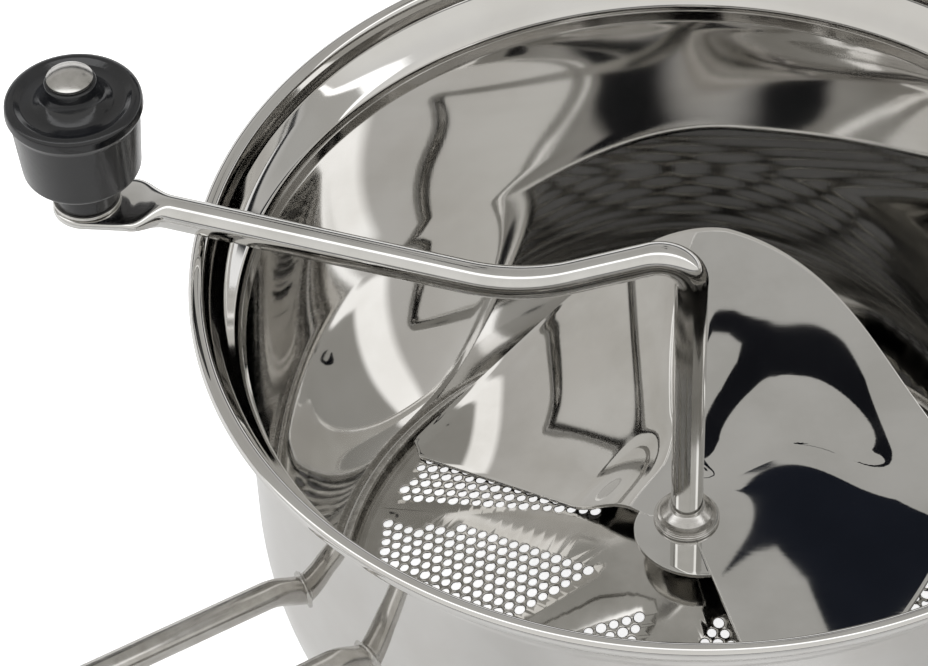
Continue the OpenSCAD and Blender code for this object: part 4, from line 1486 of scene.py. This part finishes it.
@dataclass
class Studio:
    """The room: a pale floor, soft lamps, hung cards, a graded sky and the camera."""

    paddle: Paddle
    eye: Tuple[float, float, float] = (0.0, -0.5199, 0.5765)
    elevation: float = 44.98
    roll: float = -1.25
    lens: float = 136.72
    focal_px: float = 3524.4
    axis_px: Tuple[float, float] = (692.3, 263.0)
    middle_px: Tuple[float, float] = (464.0, 333.0)
    floor_z: float = -47.6
    floor_half: float = 3000.0
    slope_step: float = 0.3

    def camera(self) -> bpy.types.Object:
        """Place the camera by its solved elevation and roll, aimed so that the crank axis falls on axis_px.

        Returns:
            The camera.
        """
        el, roll = math.radians(self.elevation), math.radians(self.roll)
        back = np.array([0, -math.cos(el), math.sin(el)])
        right = np.array([1.0, 0, 0])
        up = np.cross(back, right)
        shift = (np.array(self.axis_px) - np.array(self.middle_px)) / self.focal_px
        aim = np.array([shift[0], -shift[1], -1.0])
        aim /= np.linalg.norm(aim)
        swing = Vector((0, 0, -1)).rotation_difference(Vector(aim)).to_matrix()
        spin = Matrix.Rotation(roll, 3, "Z")
        axes = swing @ spin @ Matrix([right, up, back])
        data = bpy.data.cameras.new("studio_camera")
        data.sensor_width = 36.0
        data.lens = self.lens
        data.clip_end = 20.0
        cam = bpy.data.objects.new("studio_camera", data)
        cam.matrix_world = Matrix.Translation(Vector(self.eye)) @ axes.transposed().to_4x4()
        bpy.context.scene.collection.objects.link(cam)
        bpy.context.scene.camera = cam
        return cam

    def floor(self) -> bpy.types.Object:
        """A wide pale floor that keeps the shadow and is otherwise white."""
        corners = np.array([[x * self.floor_half, y * self.floor_half, self.floor_z]
                            for x, y in ((-1, -1), (1, -1), (1, 1), (-1, 1))])
        floor = mesh_object("studio_floor", corners, [[0, 1, 2, 3]])
        mat, tree = blank_material("white_paper_floor")
        paper = add(tree, "ShaderNodeBsdfDiffuse", {"Color": linear("#f4f4f4")})
        ray = add(tree, "ShaderNodeLightPath")
        level = add(tree, "ShaderNodeMapRange", {"Value": ray.outputs["Is Camera Ray"],
                                                 "To Min": 0.05, "To Max": 0.85})
        glow = add(tree, "ShaderNodeEmission", {"Color": WHITE, "Strength": level.outputs[0]})
        both = add(tree, "ShaderNodeAddShader", {0: paper.outputs[0], 1: glow.outputs[0]})
        add(tree, "ShaderNodeOutputMaterial", {"Surface": both.outputs[0]})
        floor.data.materials.append(mat)
        return floor

    def card(self, card: Card) -> bpy.types.Object:
        """Hang a card where the camera sees it mirrored in the paddle.

        Each corner is p + far * (w - 2 (w . n) n), where p is the outline's point on the plane that
        touches the face at the facet's point, n that plane's normal and w the direction from the camera
        to p. The corners go round so that the card faces the paddle, and its back is clear.

        Args:
            card: The card.

        Returns:
            The card's object, seen only in polished surfaces.
        """
        plan = np.array(card.outline, float)
        step = self.slope_step
        steps = np.array([[0, 0], [step, 0], [-step, 0], [0, step], [0, -step]])
        z = self.paddle.face_at(np.array(card.facet) + steps)
        slope = np.array([z[1] - z[2], z[3] - z[4]]) / (2 * step)
        normal = np.append(-slope, 1.0) / math.sqrt(1 + slope @ slope)
        p = np.column_stack([plan, z[0] + (plan - np.array(card.facet)) @ slope])
        w = p - np.array(self.eye) / MM
        w /= np.linalg.norm(w, axis=1, keepdims=True)
        back = w - 2 * (w @ normal)[:, None] * normal
        corners = p + card.far * back
        order = list(range(len(p)))
        turn = np.cross(corners, np.roll(corners, -1, 0)).sum(0)
        if turn @ (p.mean(0) - corners.mean(0)) < 0:
            order.reverse()
        obj = mesh_object(card.name, corners, [order])
        mat, tree = blank_material(card.name)
        glow = add(tree, "ShaderNodeEmission", {"Color": linear(card.colour), "Strength": 1.0})
        clear = add(tree, "ShaderNodeBsdfTransparent", {"Color": WHITE})
        side = add(tree, "ShaderNodeNewGeometry")
        face = add(tree, "ShaderNodeMixShader", {0: side.outputs["Backfacing"], 1: glow.outputs[0],
                                                 2: clear.outputs[0]})
        add(tree, "ShaderNodeOutputMaterial", {"Surface": face.outputs[0]})
        obj.data.materials.append(mat)
        obj.visible_camera = obj.visible_diffuse = obj.visible_shadow = False
        return obj

    def sky(self) -> None:
        """Grade the room: white for the camera, and for the metal a tent of strips.

        The strips run from left to right over the room, so their shade depends on the angle
        atan2(z, y) of a direction, as TENT lists it.
        """
        world = bpy.data.worlds.new("studio_tent")
        bpy.context.scene.world = world
        world.use_nodes = True
        tree = world.node_tree
        tree.nodes.clear()
        way = add(tree, "ShaderNodeTexCoord").outputs["Generated"]
        split = add(tree, "ShaderNodeSeparateXYZ", {0: way})
        turn = add(tree, "ShaderNodeMath", {0: split.outputs["Z"], 1: split.outputs["Y"]},
                   operation="ARCTAN2")
        share = add(tree, "ShaderNodeMath", {0: turn.outputs[0], 1: math.pi}, operation="DIVIDE")
        shade = ramp(tree, share.outputs[0], TENT, False)
        ray = add(tree, "ShaderNodeLightPath")
        level = add(tree, "ShaderNodeMapRange", {"Value": ray.outputs["Is Diffuse Ray"],
                                                 "To Min": 1.8, "To Max": 0.8})
        room = add(tree, "ShaderNodeBackground", {"Color": shade, "Strength": level.outputs[0]})
        white = add(tree, "ShaderNodeBackground", {"Color": WHITE, "Strength": 1.0})
        mixed = add(tree, "ShaderNodeMixShader", {0: ray.outputs["Is Camera Ray"], 1: room.outputs[0],
                                                  2: white.outputs[0]})
        add(tree, "ShaderNodeOutputWorld", {"Surface": mixed.outputs[0]})

    def lamp(self, name: str, place: Sequence[float], target: Sequence[float], size: float,
             power: float) -> None:
        """Hang a square soft lamp.

        Args:
            name: Its name.
            place: Its position in metres.
            target: The point it faces.
            size: Its side in metres.
            power: Its power in watts.
        """
        data = bpy.data.lights.new(name, "AREA")
        data.size = size
        data.energy = power
        lamp = bpy.data.objects.new(name, data)
        lamp.location = place
        lamp.visible_glossy = False
        lamp.rotation_euler = (Vector(target) - Vector(place)).to_track_quat("-Z", "Y").to_euler()
        bpy.context.scene.collection.objects.link(lamp)

    def build(self) -> None:
        """Set the whole room up."""
        bpy.context.scene.view_settings.view_transform = "Standard"
        self.camera()
        self.floor()
        self.sky()
        for card in CARDS:
            self.card(card)
        self.lamp("left_soft_lamp", (-0.9, 0.2, 0.9), (0, 0, 0), 0.6, 9)
        self.lamp("right_soft_lamp", (0.9, 0.5, 1.0), (0, 0, 0), 0.5, 6)


def dress_wing_nut(frame: Dict[str, Any]) -> None:
    """Give the wing nut, whose solid is shown as it is, its finish.
    """
    nut = frame["nodes"]["wing_nut"]
    nut.data.materials.clear()
    nut.data.materials.append(material_of(TURNED))


def main(frame: Dict[str, Any]) -> None:
    """Build every piece of the mill and the room round it.
    """
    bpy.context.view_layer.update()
    pan = Pan()
    pan.build()
    strainer = Strainer(pan)
    strainer.build()
    paddle = Paddle(strainer)
    paddle.build()
    crank = Crank(paddle)
    crank.build()
    Knob(crank).build()
    Handle(pan).build()
    PotHook(pan, "pot_hook_back", 87.0).build()
    PotHook(pan, "pot_hook_side", 353.0).build()
    Fittings(paddle).build()
    dress_wing_nut(frame)
    Studio(paddle).build()


if __name__ == "__main__":
    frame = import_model()
    main(frame)
